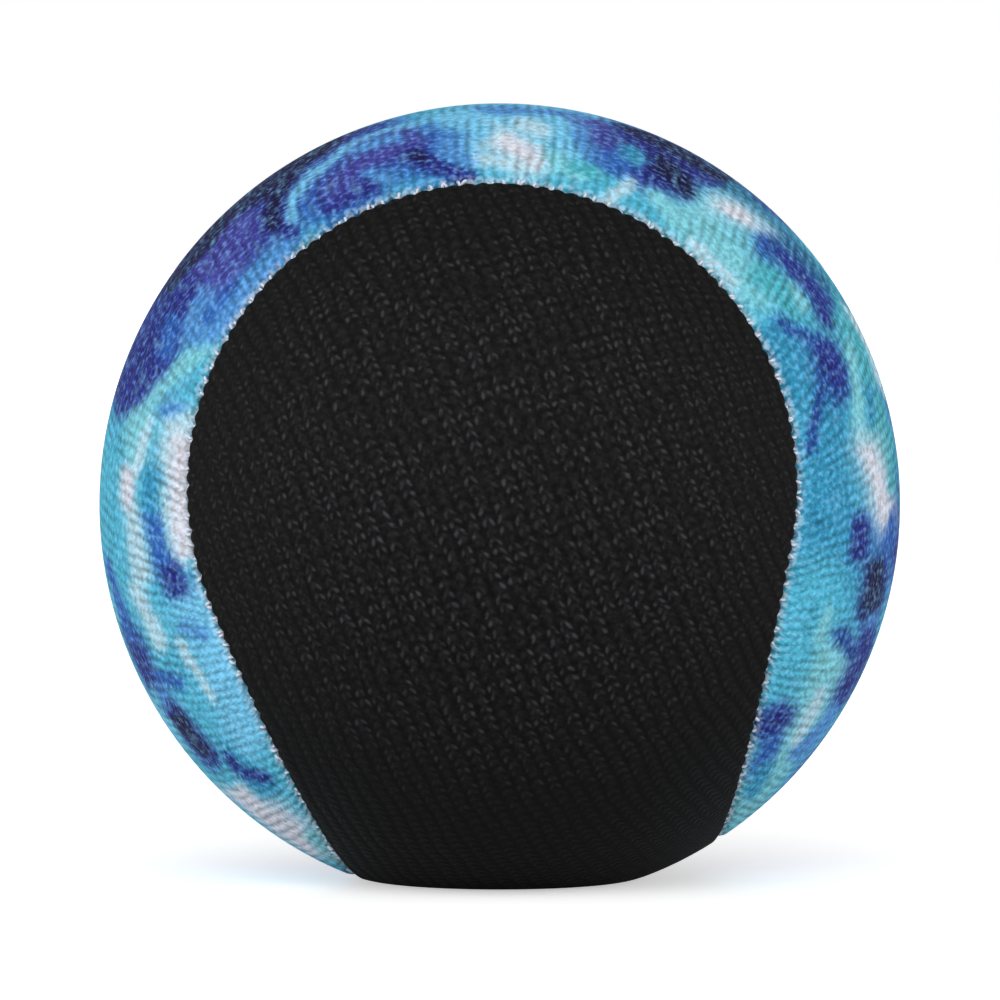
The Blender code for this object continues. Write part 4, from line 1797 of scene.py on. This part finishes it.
@dataclass(frozen=True)
class SeamStitches:
    """The white thread that joins the panels: machine stitches, and hand stitches at the back.

    Attributes:
        seam: The seam.
        stitching: The machine stitches' spacing.
        thread: Diameter of the thread.
        twist: Length of thread in which a ply goes once round.
        closing_length: Length of seam that is closed by hand, centred on the back lobe's tip.
        hand_pitch: Distance from one hand stitch to the next.
        hand_slant: How far one end of a hand stitch is ahead of the other along the seam.
        knot: Diameter of the knot that ends the hand stitches.
        knot_gap: Distance from the end of the hand-closed length to the knot.
        knot_lift: How far the knot's middle stands off the ball.
        step_jitter: How far a machine stitch's strands stray along the seam.
        slant_jitter: How far they are slanted.
        sink_jitter: How much deeper than the shallowest they lie.
        hand_jitter: How far the slants of the hand stitches differ.
        seed: Seed of the stitches' unevenness.
    """

    seam: SeamLine
    stitching: Stitching
    thread: float = 0.00024
    twist: float = 0.0005
    closing_length: float = 0.034
    hand_pitch: float = 0.0016
    hand_slant: float = 0.0005
    knot: float = 0.0009
    knot_gap: float = 0.0006
    knot_lift: float = 0.00002
    step_jitter: float = 0.00008
    slant_jitter: float = 0.0002
    sink_jitter: float = 0.00036
    hand_jitter: float = 0.0001
    seed: int = 5

    # Where along the seam the back lobe's tip is
    BACK_TIP = 2.5
    # Where a stitch's strands lie along the seam, in diameters of the thread
    STRANDS = (-0.5, 0.5)
    # Points of a stitch in millimetres: the way across the seam and the depth
    MACHINE_RUNG = ((-0.42, 0.4), (-0.26, 0.2), (-0.08, 0.19), (0.08, 0.28), (0.2, 0.46))
    HAND_RUNG = (
        (-0.85, 0.3),
        (-0.65, -0.02),
        (-0.35, 0.06),
        (0, 0.2),
        (0.35, 0.06),
        (0.65, -0.02),
        (0.85, 0.3),
    )
    # Points along the knot, the angle left open at each of its ends and how far its plain form reaches
    KNOT_POINTS = 48
    KNOT_OPEN = 0.2
    KNOT_REACH = 3
    # A short way along the seam, to tell which way it goes
    AHEAD = 0.001

    def rung(self, turn: float, points: tuple[Pair, ...], slant: float, sink: float) -> Array:
        """Lays one stitch across the seam.

        Args:
            turn: Where along the seam it lies.
            points: Its points in millimetres: the way across the seam and the depth.
            slant: How far its ends are shifted along the seam.
            sink: How much deeper than usual it lies.

        Returns:
            The points of the stitch's middle line.
        """
        across, depth = np.array(points).T * MILLIMETRE
        shift = slant * across / np.ptp(across) / self.seam.arc_length
        directions = self.seam.beside(turn + shift, across)
        return self.seam.ball.settle(directions, depth + sink)

    def machine(self, material: bpy.types.Material) -> bpy.types.Object:
        """Makes the machine stitches all along the seam but for the closed gap.

        Args:
            material: Their finish.

        Returns:
            The piece.
        """
        draw = np.random.default_rng(self.seed)
        tubes = Tubes(self.thread / 2, self.twist)
        half_gap = self.closing_length / 2 / self.seam.arc_length
        for stitch in range(self.stitching.per_arc * self.seam.ARCS):
            turn = stitch / self.stitching.per_arc
            if abs(turn - self.BACK_TIP) < half_gap:
                continue
            for strand in self.STRANDS:
                step = strand * self.thread + draw.normal(0.0, self.step_jitter)
                slant = draw.normal(0.0, self.slant_jitter)
                sink = abs(draw.normal(0.0, self.sink_jitter))
                tubes.add(self.rung(turn + step / self.seam.arc_length, self.MACHINE_RUNG, slant, sink))
        mesh = tubes.mesh("seam_stitches")
        return place_piece("seam_stitches", mesh, self.seam.ball, material, "seam_thread")

    def closing(self, material: bpy.types.Material) -> bpy.types.Object:
        """Makes the slanted hand stitches that close the gap, and their knot.

        Args:
            material: Their finish.

        Returns:
            The piece.
        """
        draw = np.random.default_rng(self.seed + 1)
        tubes = Tubes(self.thread / 2, self.twist)
        stitches = round(self.closing_length / self.hand_pitch)
        for stitch in range(stitches):
            place = (stitch + 0.5) / stitches - 0.5
            turn = self.BACK_TIP + place * self.closing_length / self.seam.arc_length
            slant = self.hand_slant + draw.normal(0.0, self.hand_jitter)
            tubes.add(self.rung(turn, self.HAND_RUNG, slant, sink=0.0))
        end = self.BACK_TIP + (self.closing_length / 2 + self.knot_gap) / self.seam.arc_length
        tubes.add(self.knot_line(end))
        mesh = tubes.mesh("closing_stitches")
        return place_piece("closing_stitches", mesh, self.seam.ball, material, "closing_thread")

    def knot_line(self, turn: float) -> Array:
        """Ties the knot on the seam.

        Args:
            turn: Where along the seam it lies.

        Returns:
            The points of the knotted thread's middle line.
        """
        round_it = np.linspace(self.KNOT_OPEN, 2 * math.pi - self.KNOT_OPEN, self.KNOT_POINTS)
        loop = np.stack(
            (
                np.sin(round_it) + 2 * np.sin(2 * round_it),
                np.cos(round_it) - 2 * np.cos(2 * round_it),
                -np.sin(3 * round_it),
            ),
            axis=1,
        )
        size = (self.knot - self.thread) / 2 / self.KNOT_REACH
        at = np.array([turn])
        out = (self.seam.frames(at)[0] @ self.seam.ball.lie.T)[0]
        ahead = (self.seam.frames(at + self.AHEAD)[0] @ self.seam.ball.lie.T)[0] - out
        ahead /= np.linalg.norm(ahead)
        axes = np.stack((ahead, np.cross(out, ahead), out))
        return out * (self.seam.ball.radius + self.knot_lift) + size * loop @ axes


# Studio


@dataclass(frozen=True)
class Lamp:
    """A broad soft lamp, far away.

    Attributes:
        name: The lamp's name.
        strength: Its strength.
        azimuth: Degrees to the right of the camera.
        elevation: Degrees above the floor.
        spread: The angle that it fills, in degrees.
    """

    name: str
    strength: float
    azimuth: float
    elevation: float
    spread: float

    def build(self) -> None:
        """Adds the lamp to the scene."""
        data = bpy.data.lights.new(self.name, "SUN")
        data.energy = self.strength
        data.angle = math.radians(self.spread)
        made = bpy.data.objects.new(self.name, data)
        bpy.context.scene.collection.objects.link(made)
        side, up = math.radians(self.azimuth), math.radians(self.elevation)
        towards = Vector((math.sin(side) * math.cos(up), -math.cos(side) * math.cos(up), math.sin(up)))
        made.rotation_euler = towards.to_track_quat("Z", "Y").to_euler()


@dataclass(frozen=True)
class Studio:
    """A white floor, soft light and the camera.

    Attributes:
        ball: The ball that is looked at.
        distance: From the camera to the ball's middle, in ball radii.
        lift: The camera's elevation.
        picture: Width of the picture in pixels.
        ball_pixels: The ball's radius in the picture.
        middle: Where the ball's middle is in the picture, from the left and from the top.
        ambient: Strength of the surround's light on the ball.
        floor_level: How pale the floor is.
        floor_roughness: Its roughness.
        floor_glow: Light added to what the camera sees of the floor, so that it shows white.
        lamps: The lamps.
    """

    ball: BallShape
    distance: float = 20.0
    lift: float = VIEW_LIFT
    picture: int = 1000
    ball_pixels: float = 400.4
    middle: Pair = (499.75, 503.7)
    ambient: float = 0.45
    floor_level: float = 0.9
    floor_roughness: float = 0.9
    floor_glow: float = 0.5
    lamps: tuple[Lamp, ...] = (
        Lamp("key", 1.3, azimuth=-5, elevation=32, spread=45),
        Lamp("left", 1.3, azimuth=-78, elevation=5, spread=60),
        Lamp("right", 1.3, azimuth=78, elevation=5, spread=60),
    )

    # Width of the camera's sensor in millimetres, and the distance from which it sees
    SENSOR = 36.0
    CLIP_START = 0.01
    FLOOR_WIDTH = 6.0
    WHITE = (1.0, 1.0, 1.0, 1.0)

    def camera(self) -> None:
        """Puts the camera where the reference view has it."""
        focal_pixels = self.ball_pixels * math.sqrt(self.distance**2 - 1)
        data = bpy.data.cameras.new("camera")
        data.sensor_width = self.SENSOR
        data.lens = self.SENSOR * focal_pixels / self.picture
        data.clip_start = self.CLIP_START
        data.shift_x = (self.picture / 2 - self.middle[0]) / self.picture
        data.shift_y = (self.middle[1] - self.picture / 2) / self.picture
        made = bpy.data.objects.new("camera", data)
        bpy.context.scene.collection.objects.link(made)
        back = Vector((0, -math.cos(self.lift), math.sin(self.lift)))
        made.location = Vector((0, 0, self.ball.centre_height)) + back * self.distance * self.ball.radius
        made.rotation_euler = (-back).to_track_quat("-Z", "Y").to_euler()
        bpy.context.scene.camera = made

    def seen_directly(self, graph: Graph) -> Socket:
        """Is 1 for what the camera sees and 0 for light on the ball."""
        return graph.add("ShaderNodeLightPath").outputs["Is Camera Ray"]

    def world(self) -> None:
        """Makes a white surround that lights the ball softly."""
        world = bpy.data.worlds.new("studio")
        world.use_nodes = True
        graph = Graph(world.node_tree)
        background = world.node_tree.nodes["Background"]
        graph.feed(background.inputs["Color"], self.WHITE)
        seen = self.seen_directly(graph)
        graph.feed(background.inputs["Strength"], graph.remap(seen, 0.0, 1.0, self.ambient, 1.0))
        bpy.context.scene.world = world

    def floor(self) -> None:
        """Lays a plain pale floor that shows white and keeps the ball's shadow."""
        half = self.FLOOR_WIDTH / 2
        mesh = bpy.data.meshes.new("floor")
        corners = [(-half, -half, 0), (half, -half, 0), (half, half, 0), (-half, half, 0)]
        mesh.from_pydata(corners, [], [(0, 1, 2, 3)])
        material, graph, shader = new_material("floor")
        graph.feed(shader.inputs["Base Color"], (self.floor_level, self.floor_level, self.floor_level, 1.0))
        graph.feed(shader.inputs["Roughness"], self.floor_roughness)
        graph.feed(shader.inputs["Specular IOR Level"], 0.0)
        graph.feed(shader.inputs["Emission Color"], self.WHITE)
        seen = self.seen_directly(graph)
        graph.feed(shader.inputs["Emission Strength"], graph.remap(seen, 0.0, 1.0, 0.0, self.floor_glow))
        mesh.materials.append(material)
        made = bpy.data.objects.new("floor", mesh)
        bpy.context.scene.collection.objects.link(made)

    def build(self) -> None:
        """Sets up the camera, the surround, the floor and the lamps."""
        self.camera()
        self.world()
        self.floor()
        for lamp in self.lamps:
            lamp.build()
        bpy.context.scene.view_settings.view_transform = "Standard"


def main() -> None:
    """Builds the ball and its studio."""
    logging.basicConfig(level=logging.INFO, format="%(name)s: %(message)s")
    ball = BallShape()
    seam = SeamLine(ball)
    edge = TurnedEdge()
    stitching = Stitching()
    effects = Effects.build()
    black = KnitPanel(
        name="black_cover",
        node="black_panel",
        slot="black_knit",
        side=Side.BLACK,
        grain_turn=math.radians(16),
        seam=seam,
        edge=edge,
        stitching=stitching,
        cut_width=0.046,
        cut_length=0.137,
        cut_area=0.0045,
    )
    dyed = KnitPanel(
        name="dyed_cover",
        node="dyed_panel",
        slot="dyed_knit",
        side=Side.DYED,
        grain_turn=math.radians(90),
        seam=seam,
        edge=edge,
        stitching=stitching,
        cut_width=0.0445,
        cut_length=0.1355,
        cut_area=0.0043,
    )
    GelCore(seam, edge).build(black, dyed, GelFinish().material(effects))
    black.build(BlackKnit().material(effects))
    dyed.build(DyedKnit().material(effects), DyeBath(ball))
    stitches = SeamStitches(seam, stitching)
    thread = ThreadFinish().material(effects)
    stitches.machine(thread)
    stitches.closing(thread)
    Studio(ball).build()


if __name__ == "__main__":
    main()
